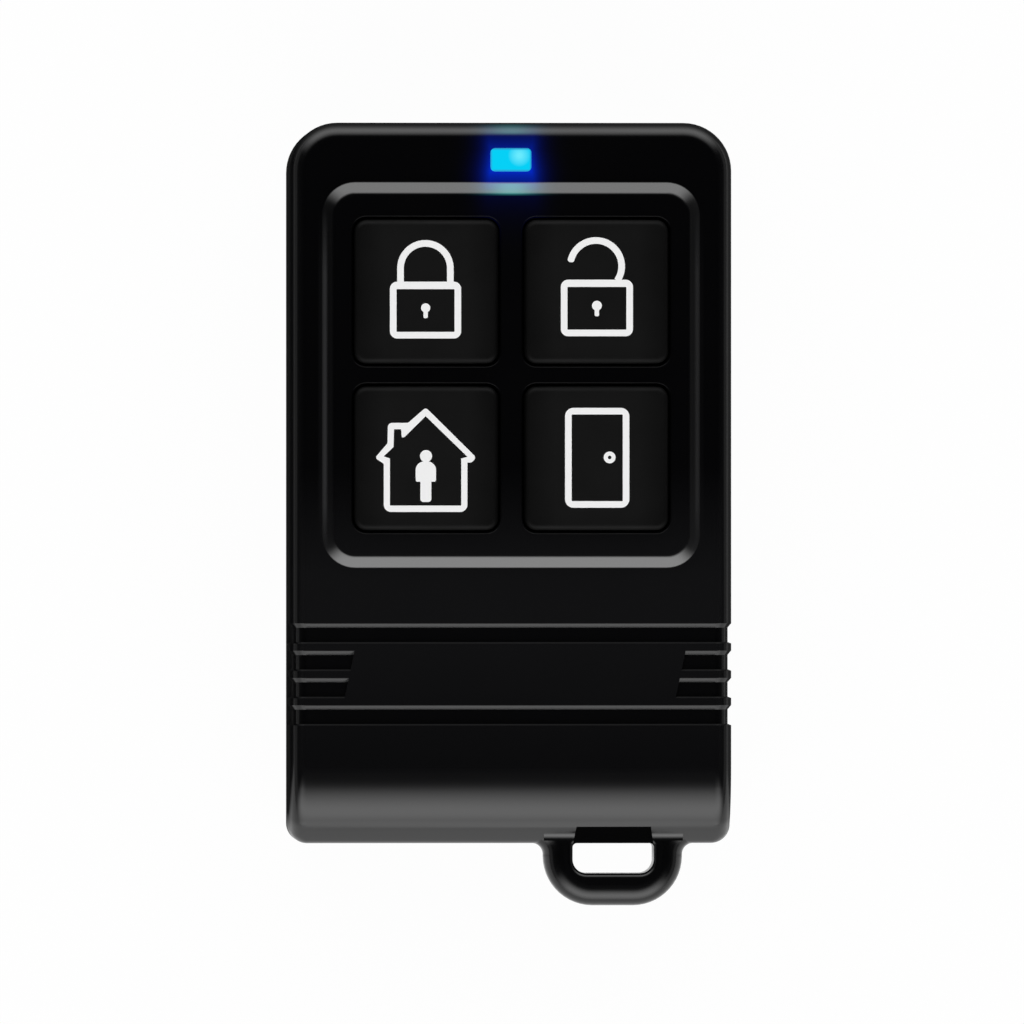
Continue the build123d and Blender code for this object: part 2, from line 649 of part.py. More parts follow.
# Light guide of the lamp, with a flange against the inside of the face
with BuildPart() as indicator_lens:
    with BuildSketch(Plane((0, LENS_Y, LENS_Z))):
        RectangleRounded(LENS_WIDTH - 2 * LENS_GAP, LENS_LENGTH - 2 * LENS_GAP, LENS_CORNER - LENS_GAP)
    extrude(amount=FRONT_Z - LENS_SINK - LENS_Z)
    with BuildSketch(Plane((0, LENS_Y, CEILING_Z - LENS_FLANGE_THICKNESS))):
        RectangleRounded(LENS_WIDTH + 2 * LENS_FLANGE, LENS_LENGTH + LENS_FLANGE, LENS_CORNER)
    extrude(amount=LENS_FLANGE_THICKNESS)
save(indicator_lens.part, "indicator_lens")

# Lamp: a small surface-mounted LED with a clear crown
with BuildPart() as indicator_led:
    with BuildSketch(Plane((0, LENS_Y, BOARD_TOP_Z))):
        Rectangle(LED_WIDTH, LED_LENGTH)
    extrude(amount=LED_HEIGHT / 2)
    with BuildSketch(Plane((0, LENS_Y, BOARD_TOP_Z + LED_HEIGHT / 2))):
        Rectangle(LED_CROWN_WIDTH, LED_LENGTH)
    extrude(amount=LED_HEIGHT / 2, taper=DRAFT)
save(indicator_led.part, "indicator_led")

# Circuit board, cut away round the three screw towers
with BuildPart() as circuit_board:
    with BuildSketch(Plane.XY.offset(BOARD_Z)):
        add(casing_plan(BOARD_Z, WALL + BOARD_GAP))
        with Locations((0, BOARD_END_Y)):
            Rectangle(WIDTH, BODY_LENGTH, align=(Align.CENTER, Align.MIN), mode=Mode.INTERSECT)
        with Locations((-WIDTH / 2, TOP_Y), (WIDTH / 2, TOP_Y)):
            Rectangle(
                2 * (SCREW_INSET_X + BOSS_NOTCH), 2 * (SCREW_INSET_Y + BOSS_NOTCH), mode=Mode.SUBTRACT
            )
        with Locations(SCREW_XY[2]):
            Circle(BOSS_NOTCH, mode=Mode.SUBTRACT)
        with Locations((SCREW_XY[2][0], SCREW_XY[2][1] - BOSS_NOTCH)):
            Rectangle(2 * BOSS_NOTCH, 2 * BOSS_NOTCH, mode=Mode.SUBTRACT)
    extrude(amount=BOARD_THICKNESS)
save(circuit_board.part, "circuit_board")

# Tactile switches under the keys: moulded bases, steel covers and soldered legs
with BuildPart() as switch_bases:
    with Locations(*[(x, y, BOARD_TOP_Z) for x, y in KEY_XY.values()]):
        Box(SWITCH_SIZE, SWITCH_SIZE, SWITCH_BASE_HEIGHT, align=BOTTOM)
    with Locations(*[(x, y, COVER_Z) for x, y in KEY_XY.values()]):
        Cylinder(
            COLLAR_DIAMETER / 2 + PLUNGER_GAP, CUP_DEPTH, align=HUNG, mode=Mode.SUBTRACT
        )
save(switch_bases.part, "switch_bases")

with BuildPart() as switch_covers:
    for x, y in KEY_XY.values():
        with BuildSketch(Plane((x, y, COVER_Z))):
            Rectangle(SWITCH_SIZE, SWITCH_SIZE + 2 * COVER_TAB)
            Circle(PLUNGER_DIAMETER / 2 + PLUNGER_GAP, mode=Mode.SUBTRACT)
        extrude(amount=SWITCH_COVER_THICKNESS)
        with BuildSketch(Plane((x, y, COVER_Z))):
            with GridLocations(0, SWITCH_SIZE + COVER_TAB, 1, 2):
                Rectangle(SWITCH_SIZE / 3, COVER_TAB)
        extrude(amount=-SWITCH_BASE_HEIGHT / 2)
save(switch_covers.part, "switch_covers")

with BuildPart() as switch_legs:
    for x, y in KEY_XY.values():
        for side in (-1, 1):
            for row in (-LEG_SPACING / 2, LEG_SPACING / 2):
                foot = Plane((x, y + row, BOARD_TOP_Z), x_dir=(side, 0, 0), z_dir=(0, -side, 0))
                with BuildSketch(foot):
                    Polygon(
                        (SWITCH_SIZE / 2, 0),
                        (SWITCH_SIZE / 2 + LEG_FOOT, 0),
                        (SWITCH_SIZE / 2 + LEG_FOOT, LEG_THICKNESS),
                        (SWITCH_SIZE / 2 + LEG_THICKNESS, LEG_THICKNESS),
                        (SWITCH_SIZE / 2 + LEG_THICKNESS, LEG_RISE),
                        (SWITCH_SIZE / 2, LEG_RISE),
                    )
                extrude(amount=LEG_WIDTH / 2, both=True)
save(switch_legs.part, "switch_legs")

# Plungers: a stem that the key's post presses, kept in by a collar under the cover
for name, (x, y) in KEY_XY.items():
    with BuildPart() as plunger:
        with Locations((x, y, COLLAR_Z)):
            Cylinder(COLLAR_DIAMETER / 2, COLLAR_THICKNESS, align=BOTTOM)
            Cylinder(PLUNGER_DIAMETER / 2, PLUNGER_TOP_Z - COLLAR_Z, align=BOTTOM)
        chamfer(plunger.faces().sort_by(Axis.Z)[-1].edges(), PLUNGER_EDGE)
    save(plunger.part, f"plunger_{name}")

# Code chip and its gull-wing pins
CHIP_XY = (CELL_LEFT + CHIP_INSET_X, BOARD_END_Y + CHIP_INSET_Y)
with BuildPart() as encoder_chip:
    with BuildSketch(Plane((*CHIP_XY, BOARD_TOP_Z + CHIP_LIFT))):
        Rectangle(CHIP_LENGTH, CHIP_WIDTH)
    extrude(amount=CHIP_HEIGHT)
    chamfer(encoder_chip.faces().sort_by(Axis.Z)[-1].edges(), CHIP_EDGE)
save(encoder_chip.part, "encoder_chip")

with BuildPart() as encoder_pins:
    side_y = CHIP_WIDTH / 2
    for side in (-1, 1):
        for i in range(CHIP_PINS_PER_SIDE):
            pin_x = CHIP_XY[0] + (i - (CHIP_PINS_PER_SIDE - 1) / 2) * CHIP_PIN_PITCH
            with BuildSketch(
                Plane((pin_x, CHIP_XY[1], BOARD_TOP_Z), x_dir=(0, side, 0), z_dir=(side, 0, 0))
            ):
                Polygon(
                    (side_y, CHIP_HEIGHT / 2),
                    (side_y + CHIP_PIN_KNEE, CHIP_HEIGHT / 2),
                    (side_y + CHIP_PIN_KNEE, LEG_THICKNESS),
                    (side_y + CHIP_PIN_REACH, LEG_THICKNESS),
                    (side_y + CHIP_PIN_REACH, 0),
                    (side_y + CHIP_PIN_KNEE - LEG_THICKNESS, 0),
                    (side_y + CHIP_PIN_KNEE - LEG_THICKNESS, CHIP_HEIGHT / 2 - LEG_THICKNESS),
                    (side_y, CHIP_HEIGHT / 2 - LEG_THICKNESS),
                )
            extrude(amount=LEG_THICKNESS, both=True)
save(encoder_pins.part, "encoder_pins")

# Resonator in its round can
CAN_XY = (CELL_RIGHT - CAN_INSET_X, BOARD_END_Y + CAN_INSET_Y)
with BuildPart() as resonator_can:
    with BuildSketch(Plane((*CAN_XY, BOARD_TOP_Z))):
        Circle(CAN_DIAMETER / 2)
    extrude(amount=CAN_RIM)
    with BuildSketch(Plane((*CAN_XY, BOARD_TOP_Z + CAN_RIM))):
        Circle(CAN_DIAMETER / 2 - CAN_RIM)
    extrude(amount=CAN_HEIGHT - CAN_RIM)
    fillet(resonator_can.faces().sort_by(Axis.Z)[-1].edges(), CAN_RIM)
save(resonator_can.part, "resonator_can")

# Radio transistor and the small chips beside it
TRANSISTOR_XY = (TRANSISTOR_X, BOARD_END_Y + TRANSISTOR_INSET_Y)
with BuildPart() as rf_transistor:
    with BuildSketch(Plane((*TRANSISTOR_XY, BOARD_TOP_Z))):
        Rectangle(TRANSISTOR_WIDTH, TRANSISTOR_LENGTH)
    extrude(amount=TRANSISTOR_HEIGHT, taper=DRAFT)
    leg_x = TRANSISTOR_WIDTH / 3
    leg_y = TRANSISTOR_LENGTH * 0.7
    with BuildSketch(Plane((*TRANSISTOR_XY, BOARD_TOP_Z))):
        with Locations((-leg_x, -leg_y), (leg_x, -leg_y), (0, leg_y)):
            Rectangle(2 * LEG_THICKNESS, LEG_WIDTH)
    extrude(amount=LEG_THICKNESS)
save(rf_transistor.part, "rf_transistor")

with BuildPart() as chip_resistors:
    with BuildSketch(Plane((0, PANEL_Y, BOARD_TOP_Z))):
        with GridLocations(0, 2 * PASSIVE_LENGTH, 1, 5):
            Rectangle(PASSIVE_WIDTH, PASSIVE_LENGTH)
    extrude(amount=RESISTOR_HEIGHT)
save(chip_resistors.part, "chip_resistors")

with BuildPart() as chip_capacitors:
    with BuildSketch(Plane((CHIP_XY[0], BOARD_END_Y + CAPACITOR_INSET_Y, BOARD_TOP_Z))):
        with GridLocations(1.6 * PASSIVE_LENGTH, 0, 4, 1):
            Rectangle(PASSIVE_LENGTH, PASSIVE_WIDTH)
    extrude(amount=CAPACITOR_HEIGHT)
save(chip_capacitors.part, "chip_capacitors")

# Cell: steel can, plastic sleeve that turns in over its positive end, and the top cap
CELL_AXIS = Plane((CELL_LEFT, CELL_Y, CELL_Z), x_dir=(0, 1, 0), z_dir=(1, 0, 0))
CAN_LENGTH = CELL_LENGTH - NUB_LENGTH
with BuildPart() as battery_can:
    with BuildSketch(CELL_AXIS):
        Circle(CELL_DIAMETER / 2 - SLEEVE_WALL - CELL_FIT)
    extrude(amount=CAN_LENGTH)
    fillet(battery_can.edges().sort_by(Axis.X)[0], BATTERY_EDGE)
save(battery_can.part, "battery_can")

with BuildPart() as battery_sleeve:
    with BuildSketch(CELL_AXIS):
        Circle(CELL_DIAMETER / 2)
    extrude(amount=CAN_LENGTH + CELL_FIT + SLEEVE_WALL)
    fillet(battery_sleeve.edges().sort_by(Axis.X)[-1], SLEEVE_EDGE)
    with BuildSketch(CELL_AXIS):
        Circle(CELL_DIAMETER / 2 - SLEEVE_WALL)
    extrude(amount=CAN_LENGTH + CELL_FIT, mode=Mode.SUBTRACT)
    with BuildSketch(CELL_AXIS):
        Circle(CAP_DIAMETER / 2 + CELL_FIT)
    extrude(amount=CELL_LENGTH, mode=Mode.SUBTRACT)
save(battery_sleeve.part, "battery_sleeve")

with BuildPart() as battery_cap:
    with BuildSketch(CELL_AXIS.offset(CAN_LENGTH)):
        Circle(CAP_DIAMETER / 2)
    extrude(amount=CAP_THICKNESS)
    with BuildSketch(CELL_AXIS.offset(CAN_LENGTH)):
        Circle(NUB_DIAMETER / 2)
    extrude(amount=NUB_LENGTH)
    fillet(battery_cap.edges().sort_by(Axis.X)[-1], NUB_EDGE)
save(battery_cap.part, "battery_cap")

# Positive contact: a plate behind the cap, with a tail that turns onto the board
TAIL_END_Y = BOARD_END_Y + CONTACT_TAIL_REACH
with BuildPart() as contact_positive:
    plate_x = CELL_RIGHT + CONTACT_FIT
    with BuildSketch(Plane.YZ.offset(plate_x)):
        with Locations((CELL_Y, CELL_Z)):
            RectangleRounded(CONTACT_WIDTH, CELL_DIAMETER - 2 * CONTACT_MARGIN, CONTACT_CORNER)
        with Locations((CELL_Y, BOARD_TOP_Z)):
            Rectangle(TAIL_END_Y - CELL_Y, CONTACT_TAIL_WIDTH, align=(Align.MIN, Align.MIN))
    extrude(amount=CONTACT_THICKNESS)
    with Locations((plate_x + CONTACT_THICKNESS, TAIL_END_Y, BOARD_TOP_Z)):
        Box(
            CONTACT_FOOT,
            TAIL_END_Y - BOARD_END_Y - RIB_GAP,
            CONTACT_THICKNESS,
            align=(Align.MAX, Align.MAX, Align.MIN),
        )
save(contact_positive.part, "contact_positive")

# Negative contact: the same backing and tail, with a bowed leaf that presses the cell
with BuildPart() as contact_negative:
    plate_low = PARTING_Z - CONTACT_SEAT
    plate_high = CELL_Z + LEAF_WIDTH / 2 + LEAF_MARGIN
    with BuildSketch(Plane.YZ.offset(LEAF_BACK_X)):
        with Locations((CELL_Y, (plate_low + plate_high) / 2)):
            RectangleRounded(CONTACT_WIDTH + 2 * LEAF_MARGIN, plate_high - plate_low, CONTACT_CORNER)
        with Locations((CELL_Y, BOARD_TOP_Z)):
            Rectangle(TAIL_END_Y - CELL_Y, CONTACT_TAIL_WIDTH, align=(Align.MIN, Align.MIN))
    extrude(amount=CONTACT_THICKNESS)
    with Locations((LEAF_BACK_X, TAIL_END_Y, BOARD_TOP_Z)):
        Box(
            CONTACT_FOOT,
            TAIL_END_Y - BOARD_END_Y - RIB_GAP,
            CONTACT_THICKNESS,
            align=(Align.MIN, Align.MAX, Align.MIN),
        )
    leaf_foot = LEAF_BACK_X + CONTACT_THICKNESS / 2
    with BuildSketch(Plane.XY.offset(CELL_Z - LEAF_WIDTH / 2)):
        with BuildLine() as bow:
            ThreePointArc(
                (leaf_foot, CELL_Y - CONTACT_WIDTH / 2),
                (CELL_LEFT - LEAF_THICKNESS / 2 - CONTACT_FIT, CELL_Y),
                (leaf_foot, CELL_Y + CONTACT_WIDTH / 2),
            )
        trace(line_width=LEAF_THICKNESS)
    extrude(amount=LEAF_WIDTH)
save(contact_negative.part, "contact_negative")

# Case screws, put in from the back: pan head with a cross recess
with BuildPart() as case_screws:
    for x, y in SCREW_XY:
        with BuildSketch(Plane((x, y, HEAD_Z))):
            Circle(SCREW_HEAD / 2)
        extrude(amount=SCREW_HEAD_HEIGHT)
        with BuildSketch(Plane((x, y, SCREW_SEAT_Z))):
            Circle(SCREW_SHANK / 2)
        extrude(amount=SCREW_LENGTH)
    fillet(case_screws.edges().group_by(Axis.Z)[0], SCREW_HEAD_EDGE)
    for x, y in SCREW_XY:
        with BuildSketch(Plane((x, y, HEAD_Z))):
            Rectangle(RECESS_LENGTH, RECESS_WIDTH)
            Rectangle(RECESS_WIDTH, RECESS_LENGTH)
        extrude(amount=RECESS_DEPTH, mode=Mode.SUBTRACT)
save(case_screws.part, "case_screws")
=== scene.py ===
"""Looks of a four-key car alarm remote: finishes for its moulded, printed and plated
pieces, the white signs on its keys, and a small studio that it lies in."""

import math

import bmesh
import bpy
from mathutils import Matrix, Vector


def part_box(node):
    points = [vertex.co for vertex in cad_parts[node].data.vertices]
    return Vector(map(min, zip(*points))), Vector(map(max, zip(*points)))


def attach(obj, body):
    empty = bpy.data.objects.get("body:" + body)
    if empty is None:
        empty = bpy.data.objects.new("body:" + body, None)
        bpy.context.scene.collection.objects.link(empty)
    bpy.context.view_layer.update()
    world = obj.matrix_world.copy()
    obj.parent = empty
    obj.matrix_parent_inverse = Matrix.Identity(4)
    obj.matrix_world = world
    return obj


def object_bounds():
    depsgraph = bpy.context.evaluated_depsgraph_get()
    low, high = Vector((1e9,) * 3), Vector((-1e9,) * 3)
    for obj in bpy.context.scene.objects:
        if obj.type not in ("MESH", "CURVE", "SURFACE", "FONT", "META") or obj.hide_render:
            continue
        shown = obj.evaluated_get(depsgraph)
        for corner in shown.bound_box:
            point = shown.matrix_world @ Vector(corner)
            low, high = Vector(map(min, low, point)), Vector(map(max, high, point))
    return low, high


bl_info = {
    "name": "Car alarm remote",
    "version": (1, 0, 0),
    "blender": (4, 5, 0),
    "location": "View3D > Sidebar > Remote",
    "description": "Finishes, key signs and studio for a four-key car alarm remote",
    "category": "Object",
}

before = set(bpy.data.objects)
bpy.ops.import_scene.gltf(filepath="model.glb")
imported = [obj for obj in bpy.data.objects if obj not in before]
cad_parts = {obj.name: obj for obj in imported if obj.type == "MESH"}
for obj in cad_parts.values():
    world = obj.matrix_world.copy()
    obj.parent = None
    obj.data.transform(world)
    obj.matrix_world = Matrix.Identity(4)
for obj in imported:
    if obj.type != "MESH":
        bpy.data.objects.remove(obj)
CAD_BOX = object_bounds()
MM = 0.001
# Half of the lamp window's width and height in the front shell's face
WINDOW = (1.72 * MM, 0.97 * MM)
# How far the keypad panel stands above the face
PANEL_RISE = 0.6 * MM
# In a sign's own millimetres: points nearer than this are one, and a cutter reaches
# this far past what it cuts
NEAR = 1e-4
OVERCUT = 1
# Width of the picture in pixels, and what one of them covers at the face
PICTURE_WIDTH = 1024
PIXEL = 0.083146 * MM
SENSOR_WIDTH = 36


# ---------------------------------------------------------------- small helpers


def linear(code, alpha=1.0):
    """A colour written as sRGB hex, turned to the linear values that Blender works in."""
    parts = [int(code[i : i + 2], 16) / 255 for i in (1, 3, 5)]
    return (
        *(c / 12.92 if c <= 0.04045 else ((c + 0.055) / 1.055) ** 2.4 for c in parts),
        alpha,
    )


def colour_property(name, description, code):
    """A colour that a user can pick, whose default is an sRGB hex value."""
    return bpy.props.FloatVectorProperty(
        name=name,
        description=description,
        subtype="COLOR",
        size=4,
        min=0.0,
        max=1.0,
        default=linear(code),
    )


def length_property(name, description, millimetres):
    """A length that a user can change, whose default is given in millimetres."""
    return bpy.props.FloatProperty(
        name=name,
        description=description,
        subtype="DISTANCE",
        unit="LENGTH",
        min=0.0,
        precision=5,
        default=millimetres * MM,
    )


def add_node(tree, kind, settings=None, values=None, links=None):
    """Adds one node, sets its options and sockets, and links what feeds it."""
    made = tree.nodes.new(kind)
    for name, value in (settings or {}).items():
        setattr(made, name, value)
    for name, value in (values or {}).items():
        made.inputs[name].default_value = value
    for name, source in (links or {}).items():
        tree.links.new(source, made.inputs[name])
    return made


def new_material(name, values):
    """A material of one Principled shader with these plain values."""
    material = bpy.data.materials.new(name)
    material.use_nodes = True
    shader = material.node_tree.nodes["Principled BSDF"]
    for socket, value in values.items():
        shader.inputs[socket].default_value = value
    return material, material.node_tree, shader


def object_axes(tree):
    """The x, y and z of a point of the piece."""
    place = add_node(tree, "ShaderNodeTexCoord")
    split = add_node(
        tree, "ShaderNodeSeparateXYZ", links={"Vector": place.outputs["Object"]}
    )
    return split.outputs["X"], split.outputs["Y"], split.outputs["Z"]


def distance_from(tree, coordinate, line):
    """How far a coordinate lies from a line, on either side of it."""
    off = add_node(
        tree, "ShaderNodeMath", {"operation": "SUBTRACT"}, {1: line}, {0: coordinate}
    )
    away = add_node(
        tree, "ShaderNodeMath", {"operation": "ABSOLUTE"}, links={0: off.outputs["Value"]}
    )
    return away.outputs["Value"]


def soft_mask(tree, *limits):
    """The product of soft limits.

    A limit is (socket, start, stop, first, last): it goes from the value first to the
    value last while the socket goes from start to stop, and keeps them beyond.
    """
    product = None
    for socket, start, stop, first, last in limits:
        step = add_node(
            tree,
            "ShaderNodeMapRange",
            values={"From Min": start, "From Max": stop, "To Min": first, "To Max": last},
            links={"Value": socket},
        )
        if product is None:
            product = step.outputs["Result"]
            continue
        both = add_node(
            tree,
            "ShaderNodeMath",
            {"operation": "MULTIPLY"},
            links={0: product, 1: step.outputs["Result"]},
        )
        product = both.outputs["Value"]
    return product


def grain(tree, shader, spacing, height, detail=2.0):
    """Bump of an even grain, with its spacing and height in metres."""
    place = add_node(tree, "ShaderNodeTexCoord")
    noise = add_node(
        tree,
        "ShaderNodeTexNoise",
        values={"Scale": 1 / spacing, "Detail": detail, "Roughness": 0.5},
        links={"Vector": place.outputs["Object"]},
    )
    bump = add_node(
        tree,
        "ShaderNodeBump",
        values={"Strength": 1.0, "Distance": height},
        links={"Height": noise.outputs["Fac"]},
    )
    tree.links.new(bump.outputs["Normal"], shader.inputs["Normal"])


def vary(tree, socket, spacing, low, high):
    """Lets a value wander between low and high over patches of this size in metres."""
    place = add_node(tree, "ShaderNodeTexCoord")
    noise = add_node(
        tree,
        "ShaderNodeTexNoise",
        values={"Scale": 1 / spacing, "Detail": 3.0},
        links={"Vector": place.outputs["Object"]},
    )
    spread = add_node(
        tree,
        "ShaderNodeMapRange",
        values={"From Min": 0.3, "From Max": 0.7, "To Min": low, "To Max": high},
        links={"Value": noise.outputs["Fac"]},
    )
    tree.links.new(spread.outputs["Result"], socket)


def vary_colour(tree, socket, spacing, colour_a, colour_b):
    """Lets a colour wander between two near shades over patches of this size."""
    place = add_node(tree, "ShaderNodeTexCoord")
    noise = add_node(
        tree,
        "ShaderNodeTexNoise",
        values={"Scale": 1 / spacing, "Detail": 3.0},
        links={"Vector": place.outputs["Object"]},
    )
    ramp = add_node(tree, "ShaderNodeValToRGB", links={"Fac": noise.outputs["Fac"]})
    ramp.color_ramp.elements[0].position = 0.35
    ramp.color_ramp.elements[0].color = colour_a
    ramp.color_ramp.elements[1].position = 0.65
    ramp.color_ramp.elements[1].color = colour_b
    tree.links.new(ramp.outputs["Color"], socket)


def finish_nodes(material, *names):
    """Puts a material on CAD nodes, in place of the one that they came with."""
    for name in names:
        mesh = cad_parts[name].data
        mesh.materials.clear()
        mesh.materials.append(material)


def middle(node):
    """Middle of a CAD node in plan, and the height of its top, in metres."""
    low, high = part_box(node)
    return (low.x + high.x) / 2, (low.y + high.y) / 2, high.z


# ---------------------------------------------------------------- modelling


def deselect():
    """Back to object mode with nothing selected."""
    if bpy.context.object and bpy.context.object.mode != "OBJECT":
        bpy.ops.object.mode_set(mode="OBJECT")
    bpy.ops.object.select_all(action="DESELECT")


def edit(piece):
    """Selects one piece and opens it in edit mode."""
    deselect()
    piece.select_set(True)
    bpy.context.view_layer.objects.active = piece
    bpy.ops.object.mode_set(mode="EDIT")


def select_points(piece, wanted):
    """In edit mode, selects the vertices whose place passes the test."""
    bpy.ops.mesh.select_mode(type="VERT")
    bpy.ops.mesh.select_all(action="DESELECT")
    shape = bmesh.from_edit_mesh(piece.data)
    for point in shape.verts:
        point.select_set(wanted(point.co))
    shape.select_flush(True)
    bmesh.update_edit_mesh(piece.data)


def thicken(low, high):
    """In edit mode, lifts flat faces to height low and extrudes them up to high."""
    bpy.ops.mesh.select_all(action="SELECT")
    bpy.ops.transform.translate(value=(0, 0, low))
    bpy.ops.mesh.extrude_region_move(
        TRANSFORM_OT_translate={"value": (0, 0, high - low)}
    )
    bpy.ops.mesh.select_all(action="SELECT")
    bpy.ops.mesh.normals_make_consistent(inside=False)
    bpy.ops.object.mode_set(mode="OBJECT")


def plate(corners, low, high):
    """A flat plate whose outline is walked corner by corner.

    A corner is (x, y, rounding); the rounding is cut back this far along both sides.
    """
    deselect()
    bpy.ops.mesh.primitive_plane_add(size=1)
    piece = bpy.context.object
    edit(piece)
    bpy.ops.mesh.select_all(action="SELECT")
    bpy.ops.mesh.merge(type="CENTER")
    bpy.ops.transform.translate(value=(corners[0][0], corners[0][1], 0))
    for start, stop in zip(corners, corners[1:]):
        step = (stop[0] - start[0], stop[1] - start[1], 0)
        bpy.ops.mesh.extrude_region_move(TRANSFORM_OT_translate={"value": step})
    bpy.ops.mesh.select_all(action="SELECT")
    bpy.ops.mesh.edge_face_add()
    for x, y, rounding in corners:
        if rounding:
            spot = Vector((x, y, 0))
            select_points(piece, lambda place: (place - spot).length < NEAR)
            bpy.ops.mesh.bevel(
                offset=rounding, affect="VERTICES", segments=8, clamp_overlap=True
            )
    thicken(low, high)
    return piece


def box_corners(left, right, bottom, top, rounding):
    """Corners of an upright rectangle with one rounding."""
    return [
        (left, bottom, rounding),
        (right, bottom, rounding),
        (right, top, rounding),
        (left, top, rounding),
    ]


def disc(x, y, radius, low, high):
    """A flat round plate."""
    deselect()
    bpy.ops.mesh.primitive_circle_add(
        vertices=48, radius=radius, fill_type="NGON", location=(x, y, 0)
    )
    piece = bpy.context.object
    bpy.ops.object.transform_apply(location=True)
    edit(piece)
    thicken(low, high)
    return piece


def arch(x, y, radius, stroke, start, turn, low, high, leg_start=0.0, leg_end=0.0):
    """A stroke spun round (x, y) from a start angle, with a straight leg at each end.

    An end with no leg is rounded.
    """
    deselect()
    bpy.ops.mesh.primitive_plane_add(size=1)
    piece = bpy.context.object
    edit(piece)
    # Only the edge across the stroke is kept, lying along the radius
    select_points(piece, lambda place: place.y > 0)
    bpy.ops.mesh.delete(type="VERT")
    bpy.ops.mesh.select_all(action="SELECT")
    bpy.ops.transform.resize(value=(stroke, 1, 1))
    bpy.ops.transform.translate(value=(radius, 0.5, 0))
    shape = bmesh.from_edit_mesh(piece.data)
    cos, sin = math.cos(start), math.sin(start)
    for point in shape.verts:
        reach = point.co.x
        point.co = (x + reach * cos, y + reach * sin, 0)
    bmesh.update_edit_mesh(piece.data)
    first = [point.co.copy() for point in shape.verts]
    if leg_start:
        bpy.ops.mesh.extrude_region_move(
            TRANSFORM_OT_translate={"value": (0, -leg_start, 0)}
        )
        select_points(
            piece, lambda place: any((place - spot).length < NEAR for spot in first)
        )
    bpy.ops.mesh.spin(
        steps=40, angle=-turn, center=(x, y, 0), axis=(0, 0, 1), use_auto_merge=False
    )
    if leg_end:
        bpy.ops.mesh.extrude_region_move(
            TRANSFORM_OT_translate={"value": (0, -leg_end, 0)}
        )
    if not leg_start:
        for spot in first:
            select_points(piece, lambda place: (place - spot).length < NEAR)
            bpy.ops.mesh.bevel(
                offset=stroke * 0.49, affect="VERTICES", segments=6, clamp_overlap=False
            )
    thicken(low, high)
    return piece


def combine(piece, other, operation):
    """Joins another shape to a piece, or cuts it out of it, and removes it."""
    step = piece.modifiers.new("combine", "BOOLEAN")
    step.operation = operation
    step.solver = "EXACT"
    step.object = other
    deselect()
    bpy.context.view_layer.objects.active = piece
    piece.select_set(True)
    bpy.ops.object.modifier_apply(modifier=step.name)
    bpy.data.objects.remove(other)
    return piece


def frame_stroke(left, right, bottom, top, rounding, stroke, head, low, high):
    """An upright rectangular stroke with rounded outer corners, head wide at its top."""
    outer = plate(box_corners(left, right, bottom, top, rounding), low, high)
    inner = plate(
        box_corners(left + stroke, right - stroke, bottom + stroke, top - head, 0.06),
        low - OVERCUT,
        high + OVERCUT,
    )
    return combine(outer, inner, "DIFFERENCE")


def keyhole(piece, x, y, radius, foot, width, low, high):
    """Adds a keyhole to a lock: a disc with a short stem down to foot."""
    combine(piece, disc(x, y, radius, low, high), "UNION")
    stem = plate(
        box_corners(x - width / 2, x + width / 2, foot, y, width * 0.35), low, high
    )
    combine(piece, stem, "UNION")


def place_sign(piece, name, key, body, material):
    """Rounds a sign's rim, sets it on its key and lets it ride with the key."""
    piece.name = name
    piece.data.name = name
    rim = piece.modifiers.new("rim", "BEVEL")
    rim.width = 0.008
    rim.segments = 2
    rim.limit_method = "ANGLE"
    rim.angle_limit = math.radians(60)
    deselect()
    piece.select_set(True)
    bpy.context.view_layer.objects.active = piece
    bpy.ops.object.modifier_apply(modifier=rim.name)
    piece.scale = (MM, MM, MM)
    piece.location = middle(key)
    bpy.ops.object.transform_apply(location=True, rotation=True, scale=True)
    piece.data.materials.clear()
    piece.data.materials.append(material)
    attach(piece, body)


# ---------------------------------------------------------------- settings


class RemoteFinishes(bpy.types.PropertyGroup):
    """Colours of the remote's pieces."""

    shell: colour_property("Front shell", "Gloss black moulding", "#050506")
    # Painted reflection: a paler shell colour that stands for a faint sheen on the face
    # below the keypad
    painted_face_sheen: colour_property("Paler face", "Face below the keypad", "#131314")
    # Painted highlight: a pale line along the foot of the keypad's side bevels
    painted_foot_highlight: colour_property("Bevel foot", "Foot of the keypad's bevels", "#2e2e2f")
    back: colour_property("Rear shell", "Satin black moulding", "#0b0b0c")
    keys: colour_property("Keys", "Matt rubber key caps", "#0f0f0f")
    # Painted shade: the keys' colour darkens towards their sides
    key_side_shade: colour_property("Key sides", "Rubber towards the keys' sides", "#010101")
    mat: colour_property("Keypad mat", "Silicone sheet round the keys", "#0c0c0d")
    ink: colour_property("Signs", "White ink of the key signs", "#ffffff")
    lamp: colour_property("Lamp", "Light of the lamp window", "#00cdf2")
    lamp_pale: colour_property("Lamp, bright spot", "Over the LED", "#68e8fa")
    lamp_rim: colour_property("Lamp, rim", "Dimmer rim of the lamp window", "#2a8fc4")
    # Painted glow: emission painted on the shell round the lamp window stands for its light
    halo: colour_property("Lamp halo", "Light that leaks round the lamp", "#0038ff")
    board: colour_property("Board", "Solder mask", "#0d4a2c")
    sleeve: colour_property("Cell sleeve", "Shrunk-on sleeve of the cell", "#4b4d52")
    halo_reach: length_property("Halo reach", "How far the light leaks", 0.46)
    # Painted glint: emission painted on the slopes beside the lamp stands for its light
    # reflected there
    glint: colour_property("Lamp glint", "Lamp light on the slopes beside it", "#61eee2")


class RemoteSigns(bpy.types.PropertyGroup):
    """Sizes of the white signs on the keys."""

    stroke: length_property("Stroke", "Width of the signs' lines", 0.55)
    ink_height: length_property("Ink height", "How far the ink stands proud", 0.03)


